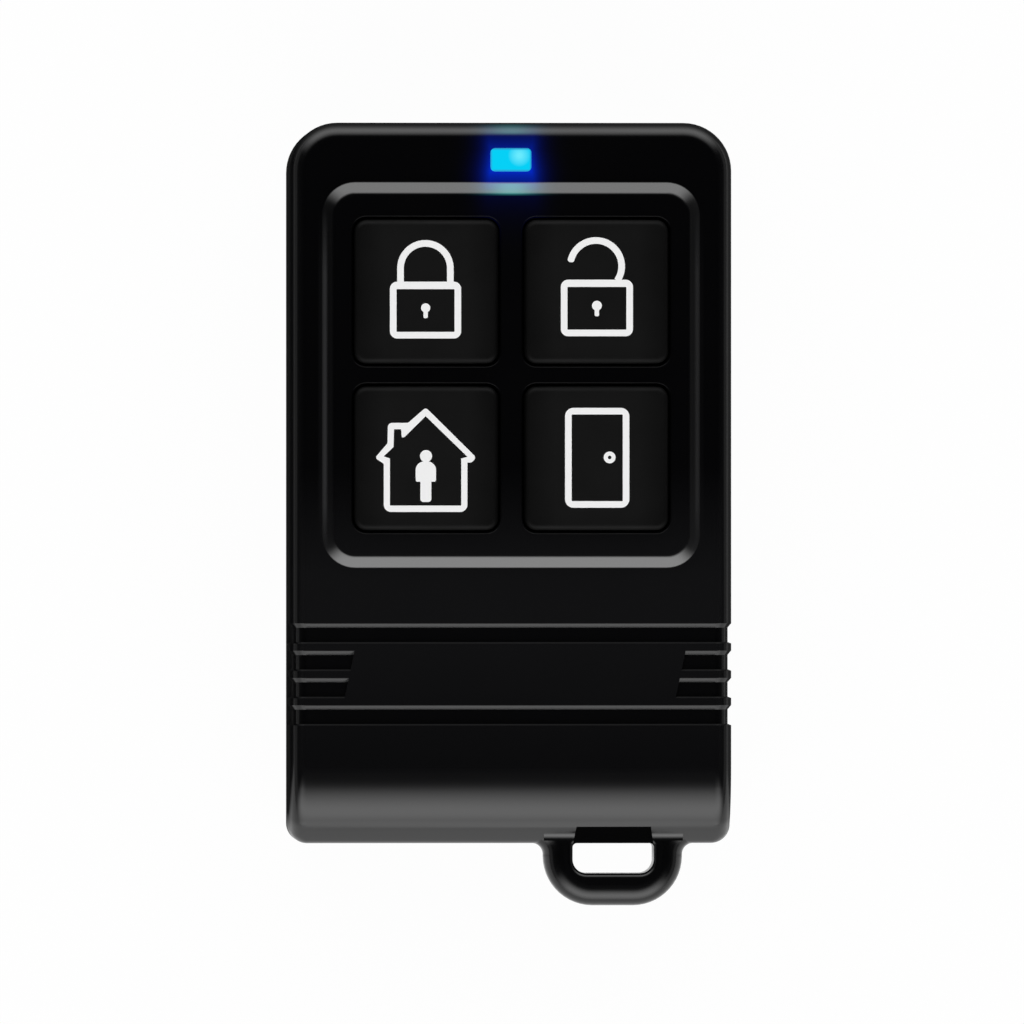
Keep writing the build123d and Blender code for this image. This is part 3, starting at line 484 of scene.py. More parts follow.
class RemoteStudio(bpy.types.PropertyGroup):
    """The studio that the remote lies in."""

    floor: colour_property("Floor", "Pale floor", "#f4f4f4")
    floor_white: bpy.props.FloatProperty(
        name="Floor white",
        description="Share of the floor that shows plain white; the rest takes the shadow",
        subtype="FACTOR",
        default=0.97,
        min=0,
        max=1,
    )
    far_wall: bpy.props.FloatProperty(
        name="Far light wall", description="Light past the lamp end", default=3.6, min=0
    )
    near_wall: bpy.props.FloatProperty(
        name="Near light wall", description="Light past the loop end", default=4.15, min=0
    )
    camera_distance: length_property("Camera distance", "From the face", 1500.0)
    camera_lean: bpy.props.FloatProperty(
        name="Camera lean",
        description="How far the camera stands off the face's normal, to the left",
        subtype="ANGLE",
        default=math.radians(2.2),
    )


# ---------------------------------------------------------------- finishes


class REMOTE_OT_casing(bpy.types.Operator):
    """Finish the front shell, the rear shell and the battery door"""

    bl_idname = "remote.finish_casing"
    bl_label = "Finish the casing"

    def execute(self, context):
        colours = context.scene.remote_finishes

        # ABS from a polished mould: a deep black, with the faint waviness that moulded
        # sheets of it show. The gloss is a coat whose weight is fitted to the
        # photograph's highlights: none on the flat faces, more on edges and curves
        gloss, tree, shader = new_material(
            "gloss_abs_polished_mould",
            {
                "Base Color": colours.shell,
                "Roughness": 0.2,
                "IOR": 1.47,
                "Specular IOR Level": 0.1,
                "Coat IOR": 1.7,
                "Coat Roughness": 0.18,
            },
        )
        vary(tree, shader.inputs["Roughness"], 7 * MM, 0.17, 0.24)
        grain(tree, shader, 1.6 * MM, 0.0012 * MM, 1.0)
        self.add_painted_sheen_and_highlight(tree, shader, colours)
        self.add_polish(tree, shader)
        self.add_halo(tree, shader, colours)
        finish_nodes(gloss, "front_shell")

        # The same ABS from a spark-eroded mould: a satin grain of about 0.15 mm
        satin, tree, shader = new_material(
            "satin_abs_spark_eroded",
            {"Base Color": colours.back, "Roughness": 0.42, "IOR": 1.53},
        )
        vary(tree, shader.inputs["Roughness"], 5 * MM, 0.38, 0.48)
        grain(tree, shader, 0.16 * MM, 0.012 * MM, 2.0)
        finish_nodes(satin, "rear_shell", "battery_door")
        return {"FINISHED"}

    def add_painted_sheen_and_highlight(self, tree, shader, colours):
        """Fitted to the photograph, and painted light: the face is painted a little paler
        below the keys as a reflection, and the foot of the keypad's side bevels takes a
        painted highlight."""
        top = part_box("front_shell")[1].z
        across, along, height = object_axes(tree)
        # Painted reflection: the shell colour turns paler below the keypad
        face = add_node(
            tree,
            "ShaderNodeMix",
            {"data_type": "RGBA"},
            {"A": colours.shell, "B": colours.painted_face_sheen},
            {
                "Factor": soft_mask(
                    tree,
                    (along, 4 * MM, -5 * MM, 0.0, 1.0),
                    (along, -9 * MM, -24 * MM, 1.0, 0.3),
                    (height, top - 0.8 * MM, top - 0.65 * MM, 0.0, 1.0),
                )
            },
        )
        # The foot: a painted highlight, a line 0.3 mm high at the outer side of the bevel
        side = distance_from(tree, across, 0.0)
        from_foot = distance_from(tree, height, top - 0.45 * MM)
        foot = soft_mask(
            tree,
            (from_foot, 0.16 * MM, 0.04 * MM, 0.0, 1.0),
            (side, 14.7 * MM, 15.0 * MM, 0.0, 1.0),
            (side, 16.1 * MM, 15.9 * MM, 0.0, 1.0),
            (along, 25.5 * MM, 20 * MM, 0.0, 1.0),
            (along, -3 * MM, 1 * MM, 0.0, 1.0),
            (across, -1 * MM, 1 * MM, 1.0, 0.5),
        )
        shade = add_node(
            tree,
            "ShaderNodeMix",
            {"data_type": "RGBA"},
            {"B": colours.painted_foot_highlight},
            {"Factor": foot, "A": face.outputs["Result"]},
        )
        tree.links.new(shade.outputs["Result"], shader.inputs["Base Color"])

    def add_polish(self, tree, shader):
        """Fitted to the photograph: gloss of all that isn't flat, and more of it on the
        bevels above and below the keypad and on the rim of the curved end."""
        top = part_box("front_shell")[1].z
        face = top - PANEL_RISE
        pad = middle("keypad_mat")[1]
        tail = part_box("rear_shell")[0].y
        _, along, height = object_axes(tree)
        bevels = soft_mask(
            tree,
            (distance_from(tree, along, pad), 13.5 * MM, 15.3 * MM, 0.0, 1.0),
            (height, face + 0.01 * MM, face + 0.03 * MM, 0.0, 1.0),
            (along, pad - 10 * MM, pad + 10 * MM, 0.475, 0.385),
        )
        rim = soft_mask(
            tree,
            (along, tail + 1.95 * MM, tail + 1.4 * MM, 0.0, 0.25),
            (along, tail + 0.9 * MM, tail + 0.1 * MM, 1.0, 0.0),
        )
        gloss = add_node(
            tree, "ShaderNodeMath", {"operation": "ADD"}, {1: 0.43}, {0: bevels}
        )
        gloss = add_node(
            tree,
            "ShaderNodeMath",
            {"operation": "ADD"},
            links={0: gloss.outputs["Value"], 1: rim},
        )
        slanted = soft_mask(
            tree,
            (distance_from(tree, height, face), 0.01 * MM, 0.05 * MM, 0.0, 1.0),
            (height, top - 0.02 * MM, top - 0.06 * MM, 0.0, 1.0),
        )
        weight = add_node(
            tree,
            "ShaderNodeMath",
            {"operation": "MULTIPLY"},
            links={0: gloss.outputs["Value"], 1: slanted},
        )
        tree.links.new(weight.outputs["Value"], shader.inputs["Coat Weight"])

    def add_halo(self, tree, shader, colours):
        """Light of the lamp painted into the shell as emission, fitted to the photograph: a
        painted blue glow round the window, and a paler cyan painted glint on the slope and
        edge beside it."""
        x, y, _ = middle("indicator_lens")
        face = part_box("front_shell")[1].z - PANEL_RISE
        across, along, height = object_axes(tree)
        # How far outside the window's outline a point of the face lies; the light
        # reaches further along the remote than across it
        place = add_node(tree, "ShaderNodeTexCoord")
        past = place.outputs["Object"]
        for operation, value in (
            ("SUBTRACT", (x, y, face)),
            ("ABSOLUTE", (0, 0, 0)),
            ("SUBTRACT", (*WINDOW, 0)),
            ("MAXIMUM", (0, 0, 0)),
            ("MULTIPLY", (1, 0.4, 0)),
        ):
            step = add_node(
                tree,
                "ShaderNodeVectorMath",
                {"operation": operation},
                {1: value},
                {0: past},
            )
            past = step.outputs["Vector"]
        past = add_node(
            tree, "ShaderNodeVectorMath", {"operation": "LENGTH"}, links={0: past}
        )
        # It dies away with that distance; more of it lies on the keypad's side, little
        # on the keypad's own face
        painted_glow = soft_mask(
            tree,
            (along, y - 0.9 * MM, y + 0.9 * MM, 0.5, 0.22),
            (height, face + 0.3 * MM, face + 0.6 * MM, 1.0, 0.2),
            (height, face - 0.9 * MM, face - 0.2 * MM, 0.0, 1.0),
        )
        fading = past.outputs["Value"]
        for operation, value in (("DIVIDE", -colours.halo_reach), ("EXPONENT", 0)):
            step = add_node(
                tree, "ShaderNodeMath", {"operation": operation}, {1: value}, {0: fading}
            )
            fading = step.outputs["Value"]
        painted_glow = add_node(
            tree, "ShaderNodeMath", {"operation": "MULTIPLY"}, links={0: painted_glow, 1: fading}
        )
        # Painted glint on slope and edge: what stands off the face's own height, below the
        # panel's top
        painted_glint = soft_mask(
            tree,
            (distance_from(tree, height, face), 0.04 * MM, 0.12 * MM, 0.0, 1.0),
            (height, face + 0.6 * MM, face + 0.56 * MM, 0.0, 1.0),
            (height, face - 1.0 * MM, face - 0.35 * MM, 0.0, 1.0),
            (along, y + 2.9 * MM, y - 1.8 * MM, 0.35, 1.0),
            (distance_from(tree, along, y), 3.42 * MM, 3.38 * MM, 0.0, 0.3),
        )
        narrowing = distance_from(tree, across, x)
        for operation, value in (
            ("DIVIDE", 1.9 * MM),
            ("POWER", 2),
            ("MULTIPLY", -1),
            ("EXPONENT", 0),
        ):
            step = add_node(
                tree,
                "ShaderNodeMath",
                {"operation": operation},
                {1: value},
                {0: narrowing},
            )
            narrowing = step.outputs["Value"]
        painted_glint = add_node(
            tree,
            "ShaderNodeMath",
            {"operation": "MULTIPLY"},
            links={0: painted_glint, 1: narrowing},
        )
        blue = add_node(
            tree,
            "ShaderNodeMix",
            {"data_type": "RGBA"},
            {"A": (0, 0, 0, 1), "B": colours.halo},
            {"Factor": painted_glow.outputs["Value"]},
        )
        lit = add_node(
            tree,
            "ShaderNodeMix",
            {"data_type": "RGBA"},
            {"B": colours.glint},
            {"Factor": painted_glint.outputs["Value"], "A": blue.outputs["Result"]},
        )
        tree.links.new(lit.outputs["Result"], shader.inputs["Emission Color"])
        shader.inputs["Emission Strength"].default_value = 1.0


class REMOTE_OT_keys(bpy.types.Operator):
    """Finish the four keys and the silicone mat round them"""

    bl_idname = "remote.finish_keys"
    bl_label = "Finish the keys"

    def execute(self, context):
        colours = context.scene.remote_finishes

        # Matt silicone rubber keys: soft and dry, barely lighter than the shell, with
        # only a breath of sheen on their rounded edges
        caps, tree, shader = new_material(
            "silicone_rubber_keys_matt",
            {
                "Base Color": colours.keys,
                "Roughness": 0.55,
                "IOR": 1.41,
                "Specular IOR Level": 0.14,
            },
        )
        vary(tree, shader.inputs["Roughness"], 4 * MM, 0.5, 0.62)
        grain(tree, shader, 0.2 * MM, 0.004 * MM, 2.0)
        # Painted shade towards each key's left and right sides
        self.paint_key_side_shade(tree, shader, colours)
        finish_nodes(caps, "key_lock", "key_unlock", "key_home", "key_door")

        # Compression-moulded silicone: dull, with the bloom of fine powder
        rubber, tree, shader = new_material(
            "silicone_compression_moulded",
            {"Base Color": colours.mat, "Roughness": 0.7, "IOR": 1.41},
        )
        vary(tree, shader.inputs["Roughness"], 3 * MM, 0.62, 0.78)
        grain(tree, shader, 0.12 * MM, 0.006 * MM, 2.0)
        finish_nodes(rubber, "keypad_mat")
        return {"FINISHED"}

    def paint_key_side_shade(self, tree, shader, colours):
        """Fitted to the photograph: painted shade makes each key a touch darker towards its
        left and right sides."""
        x, y, _ = middle("key_unlock")
        pad = (y + middle("key_door")[1]) / 2
        across, along, _ = object_axes(tree)
        # The four keys lie evenly about the pad's middle, so one key's distances do
        from_x = distance_from(tree, distance_from(tree, across, 0.0), x)
        from_y = distance_from(tree, distance_from(tree, along, pad), y - pad)
        inward = soft_mask(
            tree,
            (from_x, 6.0 * MM, 3.4 * MM, 0.0, 1.0),
            (from_y, 6.0 * MM, 4.6 * MM, 0.7, 1.0),
        )
        shade = add_node(
            tree,
            "ShaderNodeMix",
            {"data_type": "RGBA"},
            {"A": colours.key_side_shade, "B": colours.keys},
            {"Factor": inward},
        )
        tree.links.new(shade.outputs["Result"], shader.inputs["Base Color"])


class REMOTE_OT_lamp(bpy.types.Operator):
    """Finish the lamp window and the LED under it"""

    bl_idname = "remote.finish_lamp"
    bl_label = "Finish the lamp"

    def execute(self, context):
        colours = context.scene.remote_finishes

        # Acrylic light guide, lit from below: paler where the LED's chip shines up
        # through it, right of its middle
        guide, tree, shader = new_material(
            "acrylic_light_guide_lit",
            {
                "Base Color": linear("#062a38"),
                "Roughness": 0.12,
                "IOR": 1.49,
                "Emission Strength": 1.0,
            },
        )
        x, y, top = middle("indicator_lens")
        place = add_node(tree, "ShaderNodeTexCoord")
        off = add_node(
            tree,
            "ShaderNodeVectorMath",
            {"operation": "DISTANCE"},
            {1: (x + 0.7 * MM, y + 0.36 * MM, top)},
            {0: place.outputs["Object"]},
        )
        spot = soft_mask(tree, (off.outputs["Value"], 0.15 * MM, 0.95 * MM, 0.0, 1.0))
        glow = add_node(
            tree,
            "ShaderNodeMix",
            {"data_type": "RGBA"},
            {"A": colours.lamp_pale, "B": colours.lamp},
            {"Factor": spot},
        )
        # Its rim, seated in the shell, is dimmer
        across, along, _ = object_axes(tree)
        rim_x, rim_y = (half - 0.02 * MM for half in WINDOW)
        inner = soft_mask(
            tree,
            (distance_from(tree, across, x), rim_x, rim_x - 0.18 * MM, 0.0, 1.0),
            (distance_from(tree, along, y), rim_y, rim_y - 0.18 * MM, 0.0, 1.0),
        )
        light = add_node(
            tree,
            "ShaderNodeMix",
            {"data_type": "RGBA"},
            {"A": colours.lamp_rim},
            {"Factor": inner, "B": glow.outputs["Result"]},
        )
        tree.links.new(light.outputs["Result"], shader.inputs["Emission Color"])
        finish_nodes(guide, "indicator_lens")

        # White ceramic and clear epoxy of a chip LED
        chip, tree, shader = new_material(
            "epoxy_and_ceramic_led",
            {"Base Color": linear("#d9dccf"), "Roughness": 0.35, "IOR": 1.52},
        )
        base = shader.inputs["Base Color"]
        vary_colour(tree, base, 0.5 * MM, linear("#e3e2d2"), linear("#c9d2c8"))
        finish_nodes(chip, "indicator_led")
        return {"FINISHED"}


class REMOTE_OT_board(bpy.types.Operator):
    """Finish the circuit board and what is soldered to it"""

    bl_idname = "remote.finish_board"
    bl_label = "Finish the board"

    def execute(self, context):
        colours = context.scene.remote_finishes

        # Glass-epoxy board under a green solder mask; copper tracks of 0.4 mm show
        # through it as paler lines
        board, tree, shader = new_material(
            "glass_epoxy_board_green_mask",
            {"Base Color": colours.board, "Roughness": 0.32, "IOR": 1.55},
        )
        place = add_node(tree, "ShaderNodeTexCoord")
        tracks = add_node(
            tree,
            "ShaderNodeTexBrick",
            values={
                "Color1": colours.board,
                "Color2": linear("#0f5533"),
                "Mortar": linear("#2b7c50"),
                "Scale": 1 / (5.2 * MM),
                "Mortar Size": 0.045,
                "Mortar Smooth": 0.2,
                "Brick Width": 1.3,
                "Row Height": 0.42,
            },
            links={"Vector": place.outputs["Object"]},
        )
        tree.links.new(tracks.outputs["Color"], shader.inputs["Base Color"])
        bump = add_node(
            tree,
            "ShaderNodeBump",
            values={"Distance": 0.03 * MM},
            links={"Height": tracks.outputs["Fac"]},
        )
        tree.links.new(bump.outputs["Normal"], shader.inputs["Normal"])
        finish_nodes(board, "circuit_board")

        # Black glass-filled nylon of the switches' bases
        nylon, tree, shader = new_material(
            "glass_filled_nylon_black",
            {"Base Color": linear("#141416"), "Roughness": 0.55, "IOR": 1.53},
        )
        grain(tree, shader, 0.15 * MM, 0.01 * MM, 3.0)
        finish_nodes(nylon, "switch_bases")

        # Rolled stainless steel of the switches' covers, with its rolling lines
        steel, tree, shader = new_material(
            "stainless_steel_rolled",
            {"Base Color": linear("#c9c8c4"), "Metallic": 1.0, "Roughness": 0.3},
        )
        place = add_node(tree, "ShaderNodeTexCoord")
        stretch = add_node(
            tree,
            "ShaderNodeMapping",
            values={"Scale": (1, 0.06, 1)},
            links={"Vector": place.outputs["Object"]},
        )
        lines = add_node(
            tree,
            "ShaderNodeTexNoise",
            values={"Scale": 1 / (0.15 * MM), "Detail": 3.0},
            links={"Vector": stretch.outputs["Vector"]},
        )
        bump = add_node(
            tree,
            "ShaderNodeBump",
            values={"Distance": 0.003 * MM},
            links={"Height": lines.outputs["Fac"]},
        )
        tree.links.new(bump.outputs["Normal"], shader.inputs["Normal"])
        finish_nodes(steel, "switch_covers", "resonator_can")

        # Acetal plungers, turned dull by their mould
        acetal, tree, shader = new_material(
            "acetal_black", {"Base Color": linear("#1b1a19"), "Roughness": 0.4, "IOR": 1.48}
        )
        grain(tree, shader, 0.2 * MM, 0.004 * MM)
        finish_nodes(
            acetal, "plunger_lock", "plunger_unlock", "plunger_home", "plunger_door"
        )

        # Tinned brass legs and pins: bright, with soft patches of flux
        tin, tree, shader = new_material(
            "tinned_brass_dipped",
            {"Base Color": linear("#d6d4cc"), "Metallic": 1.0, "Roughness": 0.28},
        )
        vary(tree, shader.inputs["Roughness"], 0.8 * MM, 0.2, 0.42)
        finish_nodes(tin, "switch_legs", "encoder_pins")

        # Epoxy moulding compound of the chips, with a sandy grain
        epoxy, tree, shader = new_material(
            "epoxy_moulding_compound",
            {"Base Color": linear("#1d1d1e"), "Roughness": 0.6, "IOR": 1.55},
        )
        grain(tree, shader, 0.1 * MM, 0.01 * MM, 3.0)
        finish_nodes(epoxy, "encoder_chip", "rf_transistor")

        # Chip parts: glazed black and fired ochre ceramic
        glaze, tree, shader = new_material(
            "glazed_ceramic_black",
            {"Base Color": linear("#202022"), "Roughness": 0.25, "IOR": 1.6},
        )
        vary(tree, shader.inputs["Roughness"], 0.6 * MM, 0.18, 0.35)
        finish_nodes(glaze, "chip_resistors")
        ceramic, tree, shader = new_material(
            "fired_ceramic_ochre",
            {"Base Color": linear("#a98155"), "Roughness": 0.5, "IOR": 1.6},
        )
        base = shader.inputs["Base Color"]
        vary_colour(tree, base, 0.4 * MM, linear("#a07748"), linear("#b68e62"))
        finish_nodes(ceramic, "chip_capacitors")
        return {"FINISHED"}


class REMOTE_OT_battery(bpy.types.Operator):
    """Finish the cell, its contacts and the case screws"""

    bl_idname = "remote.finish_battery"
    bl_label = "Finish the cell and screws"

    def execute(self, context):
        colours = context.scene.remote_finishes

        # PVC sleeve shrunk over the cell: glossy grey, with a broad copper band round
        # the positive end, both plain
        sleeve, tree, shader = new_material(
            "pvc_sleeve_heat_shrunk",
            {"Base Color": colours.sleeve, "Roughness": 0.22, "IOR": 1.54},
        )
        low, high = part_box("battery_sleeve")
        across, _, _ = object_axes(tree)
        share = soft_mask(tree, (across, low.x, high.x, 0.0, 1.0))
        ramp = add_node(tree, "ShaderNodeValToRGB", links={"Fac": share})
        ramp.color_ramp.interpolation = "CONSTANT"
        ramp.color_ramp.elements[0].color = colours.sleeve
        ramp.color_ramp.elements[1].position = 0.68
        ramp.color_ramp.elements[1].color = linear("#a8713e")
        tree.links.new(ramp.outputs["Color"], shader.inputs["Base Color"])
        vary(tree, shader.inputs["Roughness"], 3 * MM, 0.16, 0.3)
        finish_nodes(sleeve, "battery_sleeve")

        # Nickel-plated deep-drawn steel
        nickel, tree, shader = new_material(
            "nickel_plated_steel",
            {"Base Color": linear("#cfcabf"), "Metallic": 1.0, "Roughness": 0.24},
        )
        vary(tree, shader.inputs["Roughness"], 1.5 * MM, 0.18, 0.34)
        finish_nodes(nickel, "battery_can", "battery_cap")
        finish_nodes(nickel, "contact_positive", "contact_negative")

        # Zinc-plated, black-passivated screws: a dark olive grey with a satin look
        zinc, tree, shader = new_material(
            "zinc_plated_steel_black",
            {"Base Color": linear("#43443f"), "Metallic": 1.0, "Roughness": 0.36},
        )
        vary(tree, shader.inputs["Roughness"], 0.7 * MM, 0.28, 0.46)
        grain(tree, shader, 0.12 * MM, 0.004 * MM)
        finish_nodes(zinc, "case_screws")
        return {"FINISHED"}


# ---------------------------------------------------------------- signs


def ink_material(context):
    """Pad-printed white ink: opaque, satin, its surface faintly uneven."""
    found = bpy.data.materials.get("pad_printed_white_ink")
    if found:
        return found
    ink, tree, shader = new_material(
        "pad_printed_white_ink",
        {
            "Base Color": context.scene.remote_finishes.ink,
            "Roughness": 0.5,
            "IOR": 1.5,
        },
    )
    vary(tree, shader.inputs["Roughness"], 0.9 * MM, 0.45, 0.58)
    grain(tree, shader, 0.25 * MM, 0.002 * MM)
    return ink


def sign_sizes(context):
    """Stroke, lowest and highest point of a sign, in millimetres over its key."""
    signs = context.scene.remote_signs
    return signs.stroke / MM, -0.02, signs.ink_height / MM


class REMOTE_OT_lock_sign(bpy.types.Operator):
    """Print a shut padlock on the lock key"""

    bl_idname = "remote.add_lock_sign"
    bl_label = "Padlock sign"

    def execute(self, context):
        stroke, low, high = sign_sizes(context)
        head = stroke + 0.07
        sign = frame_stroke(-3.03, 2.89, -3.9, 0.82, 0.6, stroke, head, low, high)
        shackle = arch(-0.08, 1.93, 2.07, stroke, 0, math.pi, low, high, 1.4, 1.4)
        combine(sign, shackle, "UNION")
        keyhole(sign, -0.06, -1.36, 0.38, -2.21, 0.36, low, high)
        place_sign(sign, "sign_lock", "key_lock", "lock_key", ink_material(context))
        return {"FINISHED"}


class REMOTE_OT_open_lock_sign(bpy.types.Operator):
    """Print an open padlock on the unlock key"""

    bl_idname = "remote.add_open_lock_sign"
    bl_label = "Open padlock sign"

    def execute(self, context):
        stroke, low, high = sign_sizes(context)
        head = stroke + 0.05
        sign = frame_stroke(-2.97, 3.03, -3.71, 0.99, 0.6, stroke, head, low, high)
        shackle = arch(
            -0.05,
            2.11,
            2.14,
            stroke,
            math.radians(171),
            math.radians(-205),
            low,
            high,
        )
        combine(sign, shackle, "UNION")
        keyhole(sign, 0.03, -1.17, 0.41, -2.05, 0.37, low, high)
        place_sign(
            sign, "sign_open_lock", "key_unlock", "unlock_key", ink_material(context)
        )
        return {"FINISHED"}


class REMOTE_OT_house_sign(bpy.types.Operator):
    """Print a house with a figure in it on the home key"""

    bl_idname = "remote.add_house_sign"
    bl_label = "House sign"

    OUTER = [
        (-0.05, 4.22, 0.25),
        (4.17, 0.05, 0.30),
        (3.75, -0.35, 0.10),
        (3.41, -0.36, 0.00),
        (3.41, -4.46, 0.60),
        (-3.54, -4.46, 0.60),
        (-3.54, -0.45, 0.10),
        (-4.28, 0.03, 0.25),
        (-3.23, 1.24, 0.10),
        (-3.20, 2.94, 0.36),
        (-1.52, 2.94, 0.10),
    ]
    INNER = [
        (-0.06, 3.50, 0.00),
        (3.42, 0.12, 0.00),
        (2.90, -0.02, 0.00),
        (2.90, -3.93, 0.06),
        (-3.03, -3.93, 0.06),
        (-3.03, -0.02, 0.00),
        (-3.55, 0.16, 0.00),
        (-2.73, 0.93, 0.00),
        (-2.69, 2.41, 0.05),
        (-2.10, 2.41, 0.00),
        (-2.05, 1.72, 0.10),
        (-1.84, 1.74, 0.10),
    ]

    def execute(self, context):
        # Its outlines are drawn point by point, so it doesn't take the stroke
        _, low, high = sign_sizes(context)
        sign = plate(self.OUTER, low, high)
        combine(sign, plate(self.INNER, low - OVERCUT, high + OVERCUT), "DIFFERENCE")
        figure = plate(
            [
                (-0.89, -1.95, 0.15),
                (0.80, -1.95, 0.15),
                (0.80, -0.27, 0.7),
                (-0.89, -0.27, 0.7),
            ],
            low,
            high,
        )
        combine(figure, disc(-0.03, 0.18, 0.5, low, high), "UNION")
        legs = plate(box_corners(-0.5, 0.41, -3.63, -1.6, 0.25), low, high)
        combine(figure, legs, "UNION")
        combine(sign, figure, "UNION")
        place_sign(sign, "sign_house", "key_home", "home_key", ink_material(context))
        return {"FINISHED"}


class REMOTE_OT_door_sign(bpy.types.Operator):
    """Print a door on the door key"""

    bl_idname = "remote.add_door_sign"
    bl_label = "Door sign"

    def execute(self, context):
        stroke, low, high = sign_sizes(context)
        sign = frame_stroke(-2.62, 2.73, -4.11, 4.19, 0.7, stroke, stroke, low, high)
        knob = disc(1.09, 0.07, 0.49, low, high)
        hole = disc(1.09, 0.07, 0.15, low - OVERCUT, high + OVERCUT)
        combine(knob, hole, "DIFFERENCE")
        combine(sign, knob, "UNION")
        place_sign(sign, "sign_door", "key_door", "door_key", ink_material(context))
        return {"FINISHED"}


# ---------------------------------------------------------------- studio


class REMOTE_OT_studio(bpy.types.Operator):
    """Lay the remote on a pale floor between two light walls and set the camera"""

    bl_idname = "remote.add_studio"
    bl_label = "Studio"

    # Height of a direction (0 the horizon, 1 straight up) and the light from there,
    # fitted to the photograph's highlights
    WALL = [
        (0.0, 0.33),
        (0.07, 0.44),
        (0.24, 0.66),
        (0.42, 0.97),
        (0.53, 0.97),
        (0.64, 0.8),
        (0.755, 0.52),
        (0.81, 0.33),
        (0.857, 0.12),
        (0.9, 0.04),
        (0.94, 0.012),
    ]
    FLANK = [(0.0, 0.12), (0.1, 0.3), (0.25, 0.42), (0.36, 0.35), (0.44, 0.0)]

    def execute(self, context):
        studio = context.scene.remote_studio

        # Pale floor: white to the camera and in reflections, still with a soft shadow
        deselect()
        bpy.ops.mesh.primitive_plane_add(size=6, location=(0, 0, -0.02 * MM))
        floor = bpy.context.object
        floor.name = "studio_floor"
        paper, tree, shader = new_material(
            "matte_paper_backdrop",
            {"Base Color": studio.floor, "Roughness": 0.9},
        )
        light = add_node(tree, "ShaderNodeLightPath")
        seen = light.outputs["Is Camera Ray"]
        for kind in ("Is Glossy Ray", "Is Transmission Ray"):
            step = add_node(
                tree,
                "ShaderNodeMath",
                {"operation": "MAXIMUM"},
                links={0: seen, 1: light.outputs[kind]},
            )
            seen = step.outputs["Value"]
        share = add_node(
            tree,
            "ShaderNodeMath",
            {"operation": "MULTIPLY"},
            {1: studio.floor_white},
            {0: seen},
        )
        # In reflections the floor is white past the loop end, and a painted shade darkens
        # it towards the remote on its other sides. These levels are fitted to the
        # photograph's highlights
        across, along, _ = object_axes(tree)
        level = light.outputs["Is Camera Ray"]
        for painted_shade_fade in (
            (along, -25 * MM, -30 * MM, 0.0, 1.0),
            (along, 36 * MM, 150 * MM, 0.0, 0.95),
            (across, 0 * MM, 10 * MM, 0.0, 0.08),
            (across, 20 * MM, 150 * MM, 0.0, 0.95),
            (across, -60 * MM, -400 * MM, 0.0, 0.95),
        ):
            step = add_node(
                tree,
                "ShaderNodeMath",
                {"operation": "MAXIMUM"},
                links={0: level, 1: soft_mask(tree, painted_shade_fade)},
            )
            level = step.outputs["Value"]
        white = add_node(
            tree,
            "ShaderNodeEmission",
            values={"Color": (1, 1, 1, 1)},
            links={"Strength": level},
        )
        blend = add_node(
            tree,
            "ShaderNodeMixShader",
            links={
                0: share.outputs["Value"],
                1: shader.outputs["BSDF"],
                2: white.outputs["Emission"],
            },
        )
        tree.links.new(
            blend.outputs["Shader"], tree.nodes["Material Output"].inputs["Surface"]
        )
        floor.data.materials.append(paper)

        self.add_room(context, studio)

        # The camera looks down on the face, 1 mm under the keys' tops, a little from
        # the left, at the point that the photograph's middle shows
        face = CAD_BOX[1].z - 1 * MM
        target = Vector((0.083 * MM, 0.21 * MM, face))
        lean = studio.camera_lean
        back = Vector((-math.sin(lean), 0, math.cos(lean)))
        bpy.ops.object.camera_add(location=target + back * studio.camera_distance)
        camera = bpy.context.object
        camera.name = "camera"
        camera.data.sensor_width = SENSOR_WIDTH
        seen_width = PICTURE_WIDTH * PIXEL
        camera.data.lens = SENSOR_WIDTH * studio.camera_distance / seen_width
        camera.rotation_euler = (0, -lean, 0)
        camera.data.clip_start = 0.05
        camera.data.clip_end = 20
        context.scene.camera = camera
        context.scene.view_settings.view_transform = "Standard"
        return {"FINISHED"}

    def add_room(self, context, studio):
        """A room with a long soft light wall past each end of the remote and a dark
        ceiling and sides: the flat face mirrors the ceiling, the slopes and the curved
        end mirror the walls."""
        world = bpy.data.worlds.new("two_light_walls")
        context.scene.world = world
        world.use_nodes = True
        tree = world.node_tree
        tree.nodes.clear()
        place = add_node(tree, "ShaderNodeTexCoord")
        split = add_node(
            tree, "ShaderNodeSeparateXYZ", links={"Vector": place.outputs["Generated"]}
        )
        up = split.outputs["Z"]
        # Strength by height of a light wall, from the horizon up to the dark ceiling,
        # and of the faint light from the sides, low down
        levels = []
        for profile in (self.WALL, self.FLANK):
            ramp = add_node(tree, "ShaderNodeValToRGB", links={"Fac": up})
            stops = ramp.color_ramp.elements
            stops[0].position, stops[1].position = profile[0][0], profile[-1][0]
            for height, _ in profile[1:-1]:
                stops.new(height)
            for stop, (_, level) in zip(stops, profile):
                stop.color = (level, level, level, 1)
            levels.append(ramp.outputs["Color"])
        wall, flank = levels
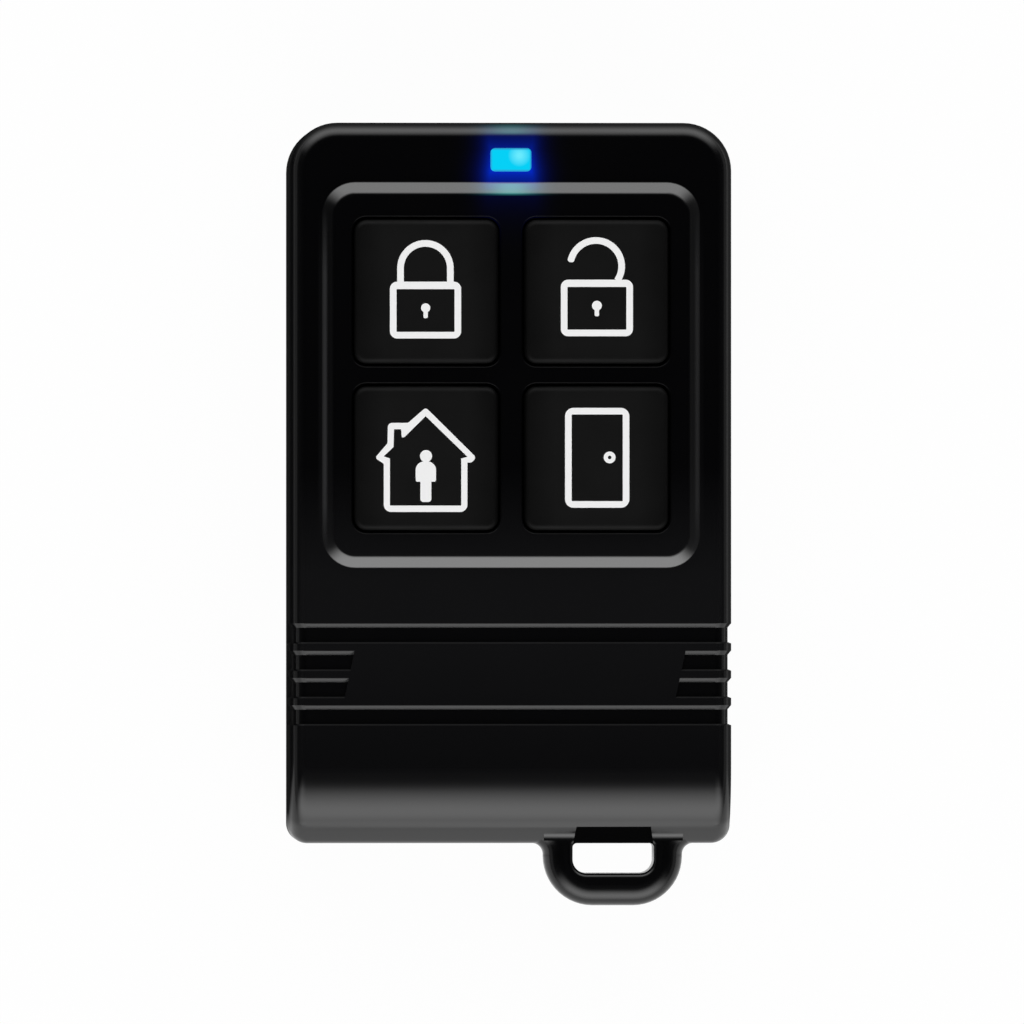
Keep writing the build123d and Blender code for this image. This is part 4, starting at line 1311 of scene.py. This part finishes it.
        # The walls fade round the corners towards the sides
        flat = add_node(
            tree,
            "ShaderNodeCombineXYZ",
            links={"X": split.outputs["X"], "Y": split.outputs["Y"]},
        )
        heading = add_node(
            tree,
            "ShaderNodeVectorMath",
            {"operation": "NORMALIZE"},
            links={0: flat.outputs["Vector"]},
        )
        heading = add_node(
            tree, "ShaderNodeSeparateXYZ", links={"Vector": heading.outputs["Vector"]}
        )
        spread = add_node(
            tree,
            "ShaderNodeMapRange",
            {"interpolation_type": "SMOOTHSTEP"},
            {"From Min": 0.47, "From Max": 0.92, "To Min": 0.012, "To Max": 1.0},
            {"Value": distance_from(tree, heading.outputs["Y"], 0.0)},
        )
        end = soft_mask(
            tree, (heading.outputs["Y"], -0.2, 0.2, studio.near_wall, studio.far_wall)
        )
        strength = wall
        for operation, other in (
            ("MULTIPLY", end),
            ("MULTIPLY", spread.outputs["Result"]),
            ("ADD", flank),
        ):
            step = add_node(
                tree,
                "ShaderNodeMath",
                {"operation": operation},
                links={0: strength, 1: other},
            )
            strength = step.outputs["Value"]
        room = add_node(tree, "ShaderNodeBackground", links={"Strength": strength})
        # Seen straight on, past the floor's edge, the room is plain white
        white = add_node(tree, "ShaderNodeBackground", values={"Color": (1, 1, 1, 1)})
        light = add_node(tree, "ShaderNodeLightPath")
        shown = add_node(
            tree,
            "ShaderNodeMixShader",
            links={
                0: light.outputs["Is Camera Ray"],
                1: room.outputs["Background"],
                2: white.outputs["Background"],
            },
        )
        add_node(tree, "ShaderNodeOutputWorld", links={"Surface": shown.outputs["Shader"]})


# ---------------------------------------------------------------- panel and run


STEPS = (
    REMOTE_OT_casing,
    REMOTE_OT_keys,
    REMOTE_OT_lamp,
    REMOTE_OT_board,
    REMOTE_OT_battery,
    REMOTE_OT_lock_sign,
    REMOTE_OT_open_lock_sign,
    REMOTE_OT_house_sign,
    REMOTE_OT_door_sign,
    REMOTE_OT_studio,
)


class REMOTE_PT_panel(bpy.types.Panel):
    """Lists the steps that dress the remote"""

    bl_idname = "REMOTE_PT_panel"
    bl_label = "Car alarm remote"
    bl_space_type = "VIEW_3D"
    bl_region_type = "UI"
    bl_category = "Remote"

    def draw(self, context):
        layout = self.layout
        for group in ("remote_finishes", "remote_signs", "remote_studio"):
            settings = getattr(context.scene, group)
            for name in settings.bl_rna.properties.keys():
                if name not in ("rna_type", "name"):
                    layout.prop(settings, name)
        for step in STEPS:
            layout.operator(step.bl_idname)


CLASSES = (RemoteFinishes, RemoteSigns, RemoteStudio, *STEPS, REMOTE_PT_panel)


def register():
    """Adds the classes and the settings to Blender."""
    for entry in CLASSES:
        bpy.utils.register_class(entry)
    bpy.types.Scene.remote_finishes = bpy.props.PointerProperty(type=RemoteFinishes)
    bpy.types.Scene.remote_signs = bpy.props.PointerProperty(type=RemoteSigns)
    bpy.types.Scene.remote_studio = bpy.props.PointerProperty(type=RemoteStudio)


def unregister():
    """Takes the settings and the classes out again."""
    del bpy.types.Scene.remote_studio
    del bpy.types.Scene.remote_signs
    del bpy.types.Scene.remote_finishes
    for entry in reversed(CLASSES):
        bpy.utils.unregister_class(entry)


def main():
    """Dresses the remote step by step."""
    register()
    for step in STEPS:
        group, name = step.bl_idname.split(".")
        getattr(getattr(bpy.ops, group), name)()


if __name__ == "__main__":
    main()
